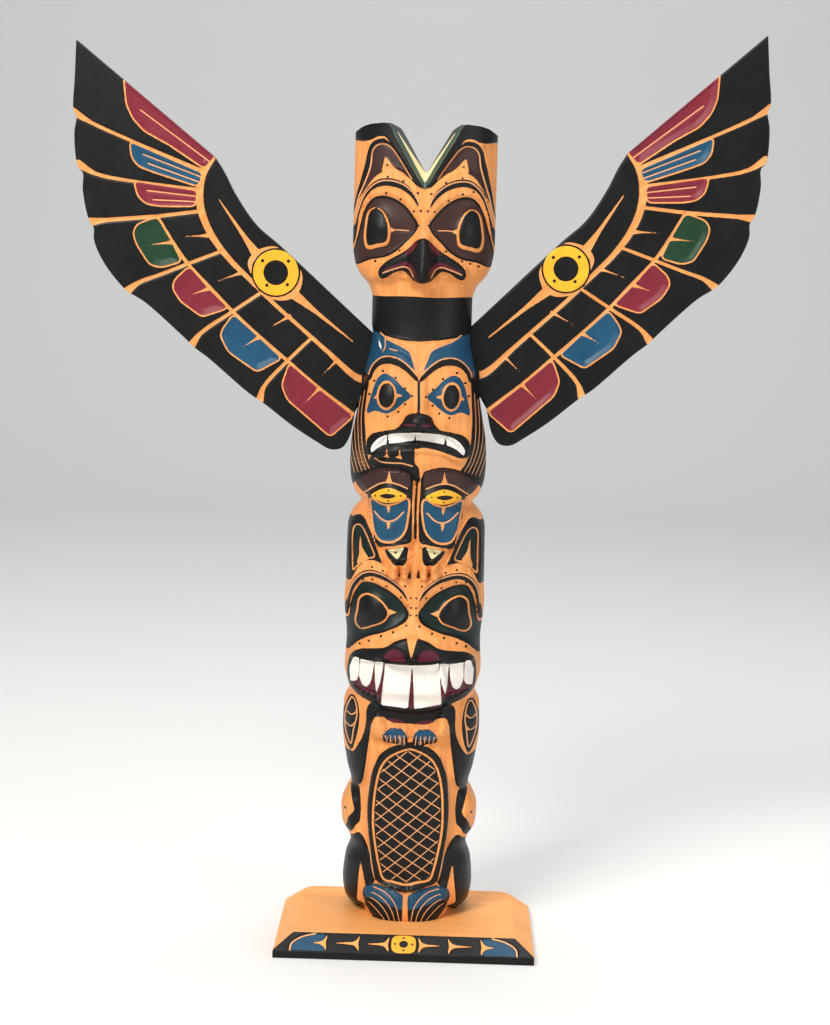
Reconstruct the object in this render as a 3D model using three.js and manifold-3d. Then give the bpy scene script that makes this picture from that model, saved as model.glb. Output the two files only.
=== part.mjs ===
// A carved and painted model totem pole on its base board, in millimetres, +Z up, front towards -Y.
// From the top: a thunderbird's head with a notched crest and spread wings, a bear with a fish tail
// in its mouth, the bird's feet, and a beaver with its cross-hatched tail. The origin is the middle
// of the board's underside. The pole is carved from one billet with a flat plain back, each wing is
// a board let into a housing in the pole's side, and the pole stands on the base board.
import * as THREE from 'three';
import { mergeVertices } from 'three/addons/utils/BufferGeometryUtils.js';
import Module from 'manifold-3d';

const wasm = await Module();
wasm.setup();

// Base board
const baseWidth = 170;
const baseDepth = 126;
const baseHeight = 14;
const baseEdge = 5;
const baseBevel = 13;
const baseBackBevel = 4;
const baseCornerRadius = 10;

// Pole billet
const poleHeight = 526;
const poleWidth = 93.8;
const poleFront = 40;
const poleBack = 28.5;
const poleSetBack = 20;
const seatGap = 0.3;

// Crest notch between the ear tips
const notchDepth = 38.6;
const notchHalfWidth = 22.3;
const notchRise = 8;
const notchChamfer = 5;

// Rounding of each ear's tip, as [in from the side, below the top]
const earRounding = [[-5, 9], [2, 4.6], [6, 2.2], [11, 0.8], [20, 0]];

// Wings, each on its shoulder point in the pole's side
const wingThickness = 10;
const wingSpread = 1;
const shoulderHeight = 366;
const rightWingRaise = 4.5;
const shoulderInset = 3.4;
const tongueRoot = 12;
const wingSetLeft = THREE.MathUtils.degToRad(-1.4);
const wingSetRight = THREE.MathUtils.degToRad(1.4);
const tongueLength = 9;
const tongueTop = 14;
const tongueBottom = -22;
const housingClearance = 0.3;
const panelDepth = 1.2;
const grooveDepth = 1.2;
const grooveWidth = 2;

// How finely the billet is faceted
const frontColumns = 32;
const facePitch = 8;
const plainPitch = 9.5;

const clamp = (t, low = 0, high = 1) => Math.min(high, Math.max(low, t));
const smoothStep = (t) => clamp(t) ** 2 * (3 - 2 * clamp(t));

// A smooth line through [height, value] points, with no overshoot between them
function graph(points) {
  const slope = points.map((point, i) => {
    if (i === 0 || i === points.length - 1) return 0;
    const before = (point[1] - points[i - 1][1]) / (point[0] - points[i - 1][0]);
    const after = (points[i + 1][1] - point[1]) / (points[i + 1][0] - point[0]);
    return before * after <= 0 ? 0 : (2 * before * after) / (before + after);
  });
  return (height) => {
    if (height <= points[0][0]) return points[0][1];
    const i = points.findIndex((point) => point[0] >= height);
    if (i < 0) return points.at(-1)[1];
    const [z0, v0] = points[i - 1];
    const [z1, v1] = points[i];
    const span = z1 - z0;
    const t = (height - z0) / span;
    const rise = v1 - v0;
    const ease = t * t * (3 - 2 * t);
    return v0 + rise * ease + span * t * (1 - t) * (slope[i - 1] * (1 - t) - slope[i] * t);
  };
}

// Half width of the billet by height above the board, down the haunches, knees, arms, beaver's
// head and ears, the bear's flanks, the neck and the bird's head
const halfWidth = graph([
  [0, 35], [4, 39], [10, 42.4], [21, 43.8], [34, 42.6], [47, 38.8], [52, 40.5], [60, 45],
  [71, 45.9], [81, 42.4], [87, 39.5], [101, 42.8], [125, 46.1], [142, 45.7], [151, 42.4],
  [167, 45.9], [187, 44.9], [212, 47], [224, 46.4], [261, 45.9], [269, 44], [274.5, 40],
  [278, 36.8], [285, 41.6], [295, 44.7], [307, 45.4], [317, 45], [337, 41.7], [368, 36.1],
  [390, 32.3], [397, 33.1], [413, 33.1], [421, 35.5], [429, 42], [437, 45.3], [449, 46.9],
  [526, 46.8],
]);

// How far the plain front stands before the plane of greatest width, by height above the board
const frontDepth = graph([
  [0, 15], [4, 23], [9, 28.5], [16, 31], [26, 33], [46, 35], [90, 36], [118, 37], [136, 38],
  [150, 41], [158, 46], [176, 47], [191, 45], [211, 43], [240, 43], [276, 40], [302, 41],
  [311, 42], [326, 43], [336, 43], [356, 42], [371, 40], [387, 37.5], [400, 36.6], [413, 36.6],
  [431, 38], [456, 38], [486, 36], [526, 33],
]);

// A closed curve through a few points [across, height above the board]
function outline(points, stepsEach = 4) {
  const corners = points.map(([x, z]) => new THREE.Vector3(x, z, 0));
  const curve = new THREE.CatmullRomCurve3(corners, true, 'centripetal');
  return curve.getPoints(points.length * stepsEach).slice(0, -1).map((p) => [p.x, p.y]);
}

// Distance of a point from a chain of straight steps
function distanceTo(chain, x, z, closed) {
  let nearest = Infinity;
  const last = closed ? chain.length : chain.length - 1;
  for (let i = 0; i < last; i += 1) {
    const [ax, az] = chain[i];
    const [bx, bz] = chain[(i + 1) % chain.length];
    const dx = bx - ax;
    const dz = bz - az;
    const t = clamp(((x - ax) * dx + (z - az) * dz) / (dx * dx + dz * dz));
    nearest = Math.min(nearest, Math.hypot(x - ax - t * dx, z - az - t * dz));
  }
  return nearest;
}

function isInside(chain, x, z) {
  let inside = false;
  for (let i = 0, j = chain.length - 1; i < chain.length; j = i, i += 1) {
    const [ax, az] = chain[i];
    const [bx, bz] = chain[j];
    if (az > z !== bz > z && x < ((bx - ax) * (z - az)) / (bz - az) + ax) inside = !inside;
  }
  return inside;
}

// Three ways a knife leaves the wood: a level panel with sloping edges, a ridge along a path, and
// a rounded mound. Each gives its height at a point; a negative height is cut in.
function panel(points, height, edge) {
  const chain = outline(points);
  return (x, z) => {
    const distance = distanceTo(chain, x, z, true) * (isInside(chain, x, z) ? 1 : -1);
    return height * smoothStep(distance / edge + 0.5);
  };
}

function ridge(points, halfBreadth, height) {
  return (x, z) => height * smoothStep(1.5 - distanceTo(points, x, z, false) / halfBreadth);
}

function mound(across, up, acrossRadius, upRadius, height) {
  return (x, z) => {
    const share = Math.hypot((x - across) / acrossRadius, (z - up) / upRadius);
    return height * smoothStep(1 - share);
  };
}

// How far the beak, the bear's nose, the beaver's snout and its feet reach forward by height, and
// how broad the first two are
const beakReach = graph([[419, 0], [423, 12], [426, 20], [431, 22], [438, 17], [446, 10], [452, 5],
  [458, 0]]);
const beakBreadth = graph([[420, 10], [431, 12], [441, 11], [452, 8], [458, 6]]);
const noseReach = graph([[325, 0], [328, 8], [333, 11], [338, 9.5], [341, 6.5], [350, 5], [360, 2.5],
  [366, 0]]);
const noseBreadth = graph([[326, 20], [338, 15], [343, 8], [366, 5]]);
const snoutReach = graph([[176, 0], [178, 6], [184, 8], [191, 7], [200, 3], [212, 0]]);
const feetReach = graph([[0, 26], [4, 19], [9, 13], [14, 9.6], [19, 6], [23, 2.5], [27, 0]]);

// Thunderbird: sunk socket and eyeball, brow, ear panel, outer ear strip, cheek wings of the beak,
// hooked beak, and the neck cut in below the chin
const birdHead = [
  panel([[3, 460], [12, 474], [27, 480], [38, 474], [46, 452], [46, 434], [25, 440], [10, 449]], -3, 3),
  mound(31, 457, 17, 20, 4.2),
  panel([[3, 470], [9, 482], [22, 489], [36, 483], [46, 460], [48, 474], [38, 488], [24, 497], [12, 493],
    [4, 485]], 1.8, 3),
  panel([[42, 480], [35, 507], [27, 513], [20, 508], [9, 490], [22, 497], [34, 491]], -1.8, 2.5),
  panel([[50, 470], [43, 500], [38, 513], [50, 514]], -2.5, 2.5),
  panel([[-4, 454], [7, 447], [20, 439], [29, 432], [27, 425], [19, 429], [11, 431], [6, 425], [-4, 424]],
    4.5, 3),
  (x, z) => beakReach(z) * smoothStep(1 - x / beakBreadth(z)),
  panel([[-6, 385.5], [12, 386.5], [25, 389], [40, 393], [40, 421], [-6, 421]], -3.2, 2.5),
];

// Bear: brow, eyeball and the hollow beside the nose, nose, upper lip, mouth, teeth, lower lip, chin
const bear = [
  panel([[2, 362], [9, 370], [21, 374], [30, 369], [34, 358], [36, 368], [29, 376], [20, 380], [8, 375],
    [1, 367]], 2.2, 2.5),
  mound(22, 350, 17, 20, 4),
  mound(10, 338, 9, 15, -3.5),
  (x, z) => noseReach(z) * smoothStep(1.2 - x / noseBreadth(z)),
  panel([[-5, 340], [6, 338], [12, 332], [28, 326], [34, 320], [33, 311], [30, 315], [20, 325], [-5, 327]],
    3, 2),
  panel([[-5, 327], [20, 325], [30, 316], [20, 315], [-5, 317]], -1.2, 2),
  panel([[-5, 327], [13, 326.5], [26, 321.5], [29, 314], [19, 318.5], [-5, 321]], 2, 1.4),
  panel([[-5, 319], [17, 319], [31, 312], [28, 308], [14, 313], [-5, 315]], 3, 2.5),
  mound(0, 309, 34, 14, 3),
];

// The bird's legs with an eye on each, and the clawed feet on the beaver's brow
const birdLegs = [
  panel([[2.4, 296], [8, 301.5], [23, 302.5], [38, 293], [32, 284], [29.5, 270], [24, 253], [3, 254]], 5, 3),
  mound(17.5, 285, 16, 10, 2.6),
  panel([[4, 254], [20, 252], [18, 242], [13, 237], [5, 238]], 3.5, 3),
  ridge([[6.5, 241], [6, 233]], 2.2, 6),
  ridge([[13, 241], [13.6, 233]], 2.2, 6),
];

// Beaver's head: ear and its hollow, brow, socket, eyeball, snout, nose and lip, teeth, lower lip
const beaverHead = [
  panel([[20, 240], [28, 257], [32, 268], [40, 270], [45, 262], [45, 226], [36, 240], [27, 243]], 3, 2.5),
  panel([[25, 244], [31, 257], [36, 264], [41, 260], [41, 236], [34, 243]], -2.2, 2),
  panel([[3, 214], [9, 223], [21, 231], [33, 230], [44, 203], [46, 217], [38, 235], [28, 242], [14, 237],
    [5, 230]], 2, 3),
  panel([[3, 208], [12, 220], [27, 227], [37, 224], [46, 204], [46, 178], [33, 190], [12, 197]], -3, 3),
  mound(28, 208, 17, 18, 4),
  (x, z) => snoutReach(z) * smoothStep(1.15 - x / 30),
  panel([[-5, 194], [10, 191], [22, 185], [41, 179], [40, 176], [16, 177], [-5, 177]], 3, 2.5),
  panel([[-5, 176.5], [19, 176.5], [20, 147], [-5, 146]], 7.5, 1.6),
  panel([[20, 177], [40, 178], [42, 160], [31, 157], [20, 157]], 3.5, 2.5),
  panel([[-5, 152], [20, 152], [34, 156], [44, 162], [42, 154], [26, 148], [12, 143], [-5, 143]], 3, 3),
];

// Beaver's body: arms, wrists and paws, tail and its swell, knees with a hollow beside them,
// haunches, feet and the cleft between them
const beaverBody = [
  panel([[22, 148], [29, 138], [31, 122], [39, 108], [40, 97], [33, 88], [29, 104], [27, 125], [19, 140]],
    2.6, 3),
  mound(21, 130, 8, 13, 8),
  panel([[2, 131], [15, 131], [18, 126], [15, 121], [2, 121]], 5, 3),
  panel([[-5, 121], [11, 119], [21, 110], [26.5, 84], [26, 55], [20.5, 26], [12, 22], [-5, 22]], 4.2, 2.5),
  (x, z) => 2.2 * smoothStep(1 - Math.hypot(x / 34, (z - 72) / 60)),
  mound(32, 71, 8, 24, -4),
  mound(41, 71, 10, 16, 2.5),
  panel([[32, 56], [27, 46], [22, 26], [24, 12], [30, 4], [42, 14], [43, 38], [38, 54]], 3, 3.5),
  (x, z) => feetReach(z) * Math.sqrt(clamp(1 - (x / 28) ** 3)),
  (x, z) => -1.6 * smoothStep((27 - z) / 4) * smoothStep(1.4 - x / 2.4),
];

// Carving over the plain front, from all its figures, at the pattern's own size
const carving = [...birdHead, ...bear, ...birdLegs, ...beaverHead, ...beaverBody];
const relief = (x, z) => carving.reduce((sum, cut) => sum + cut(Math.abs(x), z), 0);

// Section of the billet: the front is a superellipse, the back corners are rounded off to a flat
const roundness = 2.4;
const backCornerShares = [[0.985, 0.4], [0.93, 0.74], [0.83, 0.95], [0.7, 1]];

// Even steps along the superellipse from one side to the other, as [share across, share forward]
function frontShares(count) {
  const fineSteps = 720;
  const fine = Array.from({ length: fineSteps + 1 }, (_, i) => {
    const angle = (i / fineSteps - 0.5) * Math.PI;
    const across = Math.sign(angle) * Math.abs(Math.sin(angle)) ** (2 / roundness);
    return [across, Math.cos(angle) ** (2 / roundness)];
  });
  const along = [0];
  for (let i = 1; i < fine.length; i += 1) {
    along.push(along[i - 1] + Math.hypot(fine[i][0] - fine[i - 1][0], fine[i][1] - fine[i - 1][1]));
  }
  return Array.from({ length: count + 1 }, (_, k) => {
    const target = (along.at(-1) * k) / count;
    return fine[Math.min(fineSteps, along.findIndex((length) => length >= target - 1e-9))];
  });
}

// Rows fall on the levels where the carving changes, with even ones between, closer over the faces
// than over the plain neck and the tail
const carvedLevels = [0, 4, 9, 16, 21, 24, 46, 52, 60, 87, 119, 122.5, 132, 142, 146, 148, 157, 160, 177,
  179, 187, 194, 214, 229, 243, 254, 256, 266, 270, 276, 284, 302, 305, 313, 318, 322, 327, 335, 341, 353,
  367, 376, 384, 388, 413, 420.5, 423, 426, 431, 438, 446, 460, 474, 482, 497, 513, 526];
const plainStretches = [[46, 119], [388, 413]];

// The pattern is drawn at one size and follows the billet: by its top, by its width across the
// bird's eyes, where it is widest, and by its depth at the bird's knees
const patternTop = carvedLevels.at(-1);
const acrossScale = poleWidth / (2 * halfWidth(449));
const upScale = poleHeight / patternTop;
const frontScale = poleFront / frontDepth(276);

function rowHeights() {
  const heights = [0];
  for (const level of carvedLevels.slice(1)) {
    const start = heights.at(-1);
    const isPlain = plainStretches.some(([low, high]) => start >= low && level <= high);
    const count = Math.ceil((level - start) / (isPlain ? plainPitch : facePitch));
    for (let i = 1; i <= count; i += 1) heights.push(start + ((level - start) * i) / count);
  }
  return heights;
}

// One closed mesh from rings of points, capped flat at both ends
function skin(rings) {
  const count = rings[0].length;
  const faces = [];
  for (let row = 0; row < rings.length - 1; row += 1) {
    for (let k = 0; k < count; k += 1) {
      const a = row * count + k;
      const b = row * count + ((k + 1) % count);
      faces.push(a, b, b + count, a, b + count, a + count);
    }
  }
  for (const [ring, start, flip] of [[rings[0], 0, true], [rings.at(-1), (rings.length - 1) * count, false]]) {
    const flat = ring.map(([x, y]) => new THREE.Vector2(x, y));
    for (const [a, b, c] of THREE.ShapeUtils.triangulateShape(flat, [])) {
      faces.push(...(flip ? [start + a, start + c, start + b] : [start + a, start + b, start + c]));
    }
  }
  const geometry = new THREE.BufferGeometry();
  geometry.setAttribute('position', new THREE.Float32BufferAttribute(rings.flat(2), 3));
  geometry.setIndex(faces);
  return geometry;
}

// Solids for cutting, to and from three.js meshes
function toSolid(geometry) {
  const bare = geometry.clone();
  bare.deleteAttribute('normal');
  bare.deleteAttribute('uv');
  const merged = mergeVertices(bare, 1e-4);
  const vertProperties = Float32Array.from(merged.attributes.position.array);
  const triVerts = Uint32Array.from(merged.index.array);
  return new wasm.Manifold(new wasm.Mesh({ numProp: 3, vertProperties, triVerts }));
}

function toGeometry(solid) {
  const mesh = solid.getMesh();
  const geometry = new THREE.BufferGeometry();
  geometry.setAttribute('position', new THREE.BufferAttribute(Float32Array.from(mesh.vertProperties), 3));
  geometry.setIndex(new THREE.BufferAttribute(Uint32Array.from(mesh.triVerts), 1));
  return geometry;
}

// A flat shape in the XZ plane, given thickness from yFront back to yBack
function plank(points, yFront, yBack) {
  const shape = new THREE.Shape(points.map(([x, z]) => new THREE.Vector2(x, z)));
  const geometry = new THREE.ExtrudeGeometry(shape, { depth: yBack - yFront, bevelEnabled: false });
  geometry.rotateX(Math.PI / 2);
  geometry.translate(0, yBack, 0);
  return geometry;
}

// Wing outline from the shoulder, as [outward, up]: the straight leading edge, the bent wrist, the
// long tip, seven feather ends, and the inner edge along the pole
const wingShare = (points) => points.map(([u, v]) => [u * wingSpread, v * wingSpread]);
const leadingEdge = [[-1.4, 23], [60, 80.5], [76, 94.6], [89.5, 114.5], [97, 129.3], [103, 138.8]];
const wingTip = [192.8, 214.4];
const featherEnds = [
  [[194.1, 191], [195.3, 169], [193.4, 165.6]],
  [[195, 154], [193, 132], [189.8, 128.2]],
  [[190, 117], [186.4, 98], [183.2, 92.6]],
  [[183, 84], [176.5, 69], [163.5, 52.4], [158, 48.4]],
  [[150, 43.5], [125, 21], [117.4, 13.6]],
  [[108, 6.5], [81, -17], [72, -23]],
  [[53, -38], [36, -49.2], [27, -54.1], [19.5, -53.2], [14.6, -46.5]],
];
const innerEdge = [[10.4, -27], [9.4, -23.5], [6.6, -22], [4.2, -8], [0.4, 11], [-1.4, 20]];
const wingOutline = wingShare([...leadingEdge, wingTip, ...featherEnds.flat(), ...innerEdge]);

// Sunk colour panels, one to a feather, as [outward, up]
const featherPanels = [
  [[159.1, 184], [160, 173], [148.7, 155.7], [132, 146.6], [110, 131.6], [103.4, 139]],
  [[158, 148], [156.5, 138], [143.4, 129.4], [114, 120], [111.6, 127.6]],
  [[155.4, 122.3], [152.5, 112.4], [147, 108], [116, 106.8], [115, 116.2]],
  [[141, 98.6], [154, 94], [156.4, 88.7], [146, 68.6], [138.5, 67], [126, 70.4]],
  [[119.9, 66.4], [130, 57], [130.6, 52], [112, 34.6], [95.4, 39.8]],
  [[91, 34.8], [98.8, 23], [94, 11], [75.6, -1.8], [60, 6.4]],
  [[54, 2.2], [58.4, -12], [54.6, -20.6], [27, -44.6], [12.6, -31.6]],
];

// Carved lines: between feathers, along the wing's bend, and between the two rows of quills
const wingGrooves = [
  [[195, 165.6], [158, 149.3], [111, 129.6]],
  [[191, 128.2], [156.5, 122.7], [113.4, 117.3]],
  [[184, 93], [175.4, 97.5], [113, 103.2]],
  [[159, 50], [153.6, 56.3], [121, 68.8], [99.3, 76.8]],
  [[118, 15], [112.8, 23], [91.2, 37.6], [72.5, 50]],
  [[73, -21], [71, -12.4], [55, 5.1], [39, 20.4]],
  [[102, 137], [110.4, 128.3], [112.9, 114.6], [104.8, 87], [79, 57.4], [45.5, 26], [11, -4.5]],
];

// A narrow flat-bottomed cut along each step of a path, from the front face
function grooveAlong(path, yFront, depth) {
  const half = grooveWidth / 2;
  return path.slice(1).map(([x1, z1], i) => {
    const [x0, z0] = path[i];
    const length = Math.hypot(x1 - x0, z1 - z0);
    const alongX = ((x1 - x0) / length) * half;
    const alongZ = ((z1 - z0) / length) * half;
    const corners = [
      [x0 - alongX - alongZ, z0 - alongZ + alongX],
      [x0 - alongX + alongZ, z0 - alongZ - alongX],
      [x1 + alongX + alongZ, z1 + alongZ - alongX],
      [x1 + alongX - alongZ, z1 + alongZ + alongX],
    ];
    return toSolid(plank(corners, yFront - 1, yFront + depth));
  });
}

// Tongue that the wing seats by, and the housing for it in the pole's side
function tongueOutline(clearance) {
  return [
    [tongueRoot * wingSpread, tongueBottom - clearance],
    [tongueRoot * wingSpread, tongueTop + clearance],
    [-tongueLength - clearance, tongueTop + clearance],
    [-tongueLength - clearance, tongueBottom - clearance],
  ];
}

// Places a wing's own shapes at the shoulder on one side; the left side is turned inside out by
// the mirror, so its faces are turned back
const shoulderAcross = halfWidth(shoulderHeight / upScale) * acrossScale - shoulderInset;
function atShoulder(geometry, side, turn) {
  const placed = geometry.index ? geometry.toNonIndexed() : geometry.clone();
  placed.applyMatrix4(new THREE.Matrix4().makeRotationY(-turn));
  const raise = side > 0 ? rightWingRaise : 0;
  placed.translate(shoulderAcross, poleSetBack, baseHeight + shoulderHeight + raise);
  if (side < 0) {
    const position = placed.attributes.position;
    for (let i = 0; i < position.count; i += 3) {
      const corner = [0, 1, 2].map((k) => new THREE.Vector3().fromBufferAttribute(position, i + k));
      [0, 2, 1].forEach((k, to) => position.setXYZ(i + to, -corner[k].x, corner[k].y, corner[k].z));
    }
  }
  return placed;
}

function makeWing() {
  const yFront = -wingThickness / 2;
  const yBack = wingThickness / 2;
  let wing = toSolid(plank(wingOutline, yFront, yBack));
  wing = wing.add(toSolid(plank(tongueOutline(0), yFront, yBack)));
  for (const points of featherPanels) {
    wing = wing.subtract(toSolid(plank(outline(wingShare(points), 2), yFront - 1, yFront + panelDepth)));
  }
  for (const path of wingGrooves) {
    for (const cut of grooveAlong(wingShare(path), yFront, grooveDepth)) wing = wing.subtract(cut);
  }
  return toGeometry(wing);
}

// Top of the ears, and the notch between them, cut through from front to back
function cutCrest(pole) {
  const top = baseHeight + poleHeight;
  const half = poleWidth / 2;
  const clearOfTop = 20;
  const rounding = earRounding.map(([inset, drop]) => [half - inset, top - drop]);
  const earTop = [...rounding, [rounding.at(-1)[0], top + clearOfTop], [rounding[0][0], top + clearOfTop]];
  const yFront = poleSetBack - 2 * poleFront;
  const yBack = poleSetBack + 2 * poleBack;
  const slope = notchDepth / notchHalfWidth;
  const wide = half * 1.2;
  const vee = (drop) => [[0, top - notchDepth - drop], [wide, top - notchDepth - drop + slope * wide],
    [-wide, top - notchDepth - drop + slope * wide]];
  // Tilts a cut so that it rises towards the back, level where it meets the front
  const tilted = (geometry, rise) => {
    const level = poleSetBack - poleFront * 0.9;
    const shear = new THREE.Matrix4().set(1, 0, 0, 0, 0, 1, 0, 0, 0, rise, 1, -rise * level, 0, 0, 0, 1);
    return geometry.applyMatrix4(shear);
  };
  const through = notchRise / (0.9 * poleFront + poleBack);
  let cut = pole.subtract(toSolid(tilted(plank(vee(0), yFront, yBack), through)));
  cut = cut.subtract(toSolid(tilted(plank(vee(notchChamfer), yFront, yBack), 1)));
  for (const side of [1, -1]) {
    const corners = earTop.map(([x, z]) => [side * x, z]);
    const ordered = side > 0 ? corners : corners.reverse();
    cut = cut.subtract(toSolid(plank(ordered, yFront, yBack)));
  }
  return cut;
}

function makePole() {
  const shares = frontShares(frontColumns);
  const rings = rowHeights().map((height) => {
    const half = halfWidth(height);
    const front = shares.map(([across, forward]) => {
      const x = across * half;
      const lift = relief(x, height) * smoothStep(forward * 2.2);
      return [x * acrossScale, poleSetBack - (forward * frontDepth(height) + lift) * frontScale];
    });
    const right = backCornerShares.map(([across, back]) => [
      across * half * acrossScale,
      poleSetBack + back * poleBack,
    ]);
    const left = right.map(([x, y]) => [-x, y]).reverse();
    const z = baseHeight + seatGap + height * (upScale - seatGap / patternTop);
    return [...front, ...right, ...left].map(([x, y]) => [x, y, z]);
  });
  let pole = cutCrest(toSolid(skin(rings)));
  for (const [side, turn] of [[-1, wingSetLeft], [1, wingSetRight]]) {
    const half = wingThickness / 2 + housingClearance;
    const housing = plank(tongueOutline(housingClearance), -half, half);
    pole = pole.subtract(toSolid(atShoulder(housing, side, turn)));
    const board = plank(wingOutline, -half, half).translate(-housingClearance, 0, 0);
    pole = pole.subtract(toSolid(atShoulder(board, side, turn)));
  }
  return toGeometry(pole);
}

// The base board: a plumb edge, then long bevels on the front and sides mitred at the front
// corners, and rounded back corners
function boardRing(inset, backInset, radius, z) {
  const x = baseWidth / 2 - inset;
  const yFront = -baseDepth / 2 + inset;
  const yBack = baseDepth / 2 - backInset;
  const steps = 6;
  const arc = (centreX, from) => Array.from({ length: steps + 1 }, (_, i) => {
    const angle = from + (i / steps) * (Math.PI / 2);
    return [centreX + radius * Math.cos(angle), yBack - radius + radius * Math.sin(angle), z];
  });
  return [[-x, yFront, z], [x, yFront, z], ...arc(x - radius, 0), ...arc(-x + radius, Math.PI / 2)];
}

function makeBase() {
  return skin([
    boardRing(0, 0, baseCornerRadius, 0),
    boardRing(0, 0, baseCornerRadius, baseEdge),
    boardRing(baseBevel, baseBackBevel, baseCornerRadius, baseHeight),
  ]);
}

// Finishes: oiled cedar for the board, and satin black paint over it on the pole and wings
const cedar = new THREE.MeshStandardMaterial({ color: 0xe0a25e, roughness: 0.5, metalness: 0 });
const paintedCedar = new THREE.MeshStandardMaterial({ color: 0xc98f52, roughness: 0.45, metalness: 0 });
const blackPaint = new THREE.MeshStandardMaterial({ color: 0x282625, roughness: 0.42, metalness: 0 });

const totemPole = new THREE.Group();
function place(name, geometry, material) {
  const mesh = new THREE.Mesh(geometry, material);
  mesh.name = name;
  totemPole.add(mesh);
}

place('base', makeBase(), cedar);
place('pole', makePole(), paintedCedar);
place('wing_left', atShoulder(makeWing(), -1, wingSetLeft), blackPaint);
place('wing_right', atShoulder(makeWing(), 1, wingSetRight), blackPaint);

export default totemPole;
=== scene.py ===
"""A carved and painted model totem pole, with spread wings, on its base board."""
import math

import bmesh
import bpy
import numpy as np
from mathutils import Matrix, Vector, geometry


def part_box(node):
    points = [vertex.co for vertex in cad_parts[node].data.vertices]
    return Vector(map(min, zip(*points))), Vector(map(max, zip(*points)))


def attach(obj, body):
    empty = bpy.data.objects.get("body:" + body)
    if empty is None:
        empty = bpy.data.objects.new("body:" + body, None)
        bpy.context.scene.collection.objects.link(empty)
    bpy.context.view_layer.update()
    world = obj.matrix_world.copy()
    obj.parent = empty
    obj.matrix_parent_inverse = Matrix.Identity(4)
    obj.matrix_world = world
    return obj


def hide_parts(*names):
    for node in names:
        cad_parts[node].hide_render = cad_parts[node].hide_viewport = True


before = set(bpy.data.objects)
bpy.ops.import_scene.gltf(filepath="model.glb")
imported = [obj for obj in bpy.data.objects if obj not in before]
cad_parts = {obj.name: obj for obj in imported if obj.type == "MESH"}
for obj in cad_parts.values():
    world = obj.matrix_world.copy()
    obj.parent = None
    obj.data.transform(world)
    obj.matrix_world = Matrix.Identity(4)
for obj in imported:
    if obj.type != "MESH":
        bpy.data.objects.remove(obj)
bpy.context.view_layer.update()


# Base board. One cedar board about 14 mm thick, oiled, with a plumb edge under long bevels and
# rounded back corners. Its front bevel and edge are painted black, with a carved and painted row of
# an eye, three pairs of split wedges and two blue ends.
base_low, base_high = (np.array(corner) * 1000 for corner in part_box("base"))
board_bevel = 13.0
board_back_bevel = 4.0
board_edge = 5.0
board_corner = 10.0
board_worn = 0.5
board_front_columns = 245
board_side_columns = 30
bevel_slope = math.hypot(board_bevel, base_high[2] - board_edge)
bevel_middle = bevel_slope / 2
off_the_board = 300.0

natural_light = (248, 176, 104)
natural_dark = (238, 160, 88)
board_line = (236, 172, 120)
dot_paint = (30, 22, 20)
board_paints = {"black": (13, 13, 13), "blue": (22, 70, 98), "yellow": (238, 170, 44)}

# In mm: how far an edge of paint is followed, how far a paint runs on under the one laid over it,
# and what stands for a mark that is nowhere near
reach = 3.0
overlap = 0.7
far = 9.0


def pigment(rgb):
    """A colour from 0 to 255 as the eye sees it, turned to the light that it reflects."""
    share = np.array(rgb) / 255.0
    light = np.where(share <= 0.04045, share / 12.92, ((share + 0.055) / 1.055) ** 2.4)
    return (*light.tolist(), 1.0)


def smooth_step(t):
    """Rises from 0 to 1 with level ends: 3 t squared less 2 t cubed."""
    t = np.clip(t, 0.0, 1.0)
    return t * t * (3.0 - 2.0 * t)


def rounded(points, steps=6):
    """A closed curve through a few points: each span is a cubic whose slopes weigh the chords by the
    root of their length."""
    here = np.array(points, float)
    before, after, beyond = (np.roll(here, shift, axis=0) for shift in (1, -1, -2))
    root = [np.sqrt(np.linalg.norm(b - a, axis=1))[:, None]
            for a, b in ((before, here), (here, after), (after, beyond))]
    leave = ((here - before) / root[0] - (after - before) / (root[0] + root[1])) * root[1] + after - here
    arrive = ((beyond - after) / root[2] - (beyond - here) / (root[1] + root[2])) * root[1] + after - here
    spans = []
    for t in np.arange(steps) / steps:
        spans.append(here + leave * t + (3 * (after - here) - 2 * leave - arrive) * t ** 2
                     + (leave + arrive - 2 * (after - here)) * t ** 3)
    return np.stack(spans, axis=1).reshape(-1, 2)


def bowed(points, steps=5):
    """An open smooth curve through a few points, from the first to the last."""
    here = np.array(points, float)
    if len(here) < 3:
        return here
    led = np.concatenate([[2 * here[0] - here[1]], here, [2 * here[-1] - here[-2]]])
    return np.concatenate([rounded(led, steps)[steps:steps * len(here)], here[-1:]])


def filleted(points, cut, steps=4):
    """A closed outline of straight sides, with each corner rounded off from up to cut mm away."""
    here = np.array(points, float)
    bends = []
    for before, corner, after in zip(np.roll(here, 1, axis=0), here, np.roll(here, -1, axis=0)):
        start = corner + (before - corner) * min(0.45, cut / np.linalg.norm(before - corner))
        end = corner + (after - corner) * min(0.45, cut / np.linalg.norm(after - corner))
        for t in np.linspace(0, 1, steps + 1):
            bends.append(start * (1 - t) ** 2 + corner * 2 * t * (1 - t) + end * t ** 2)
    return np.array(bends)


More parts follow.
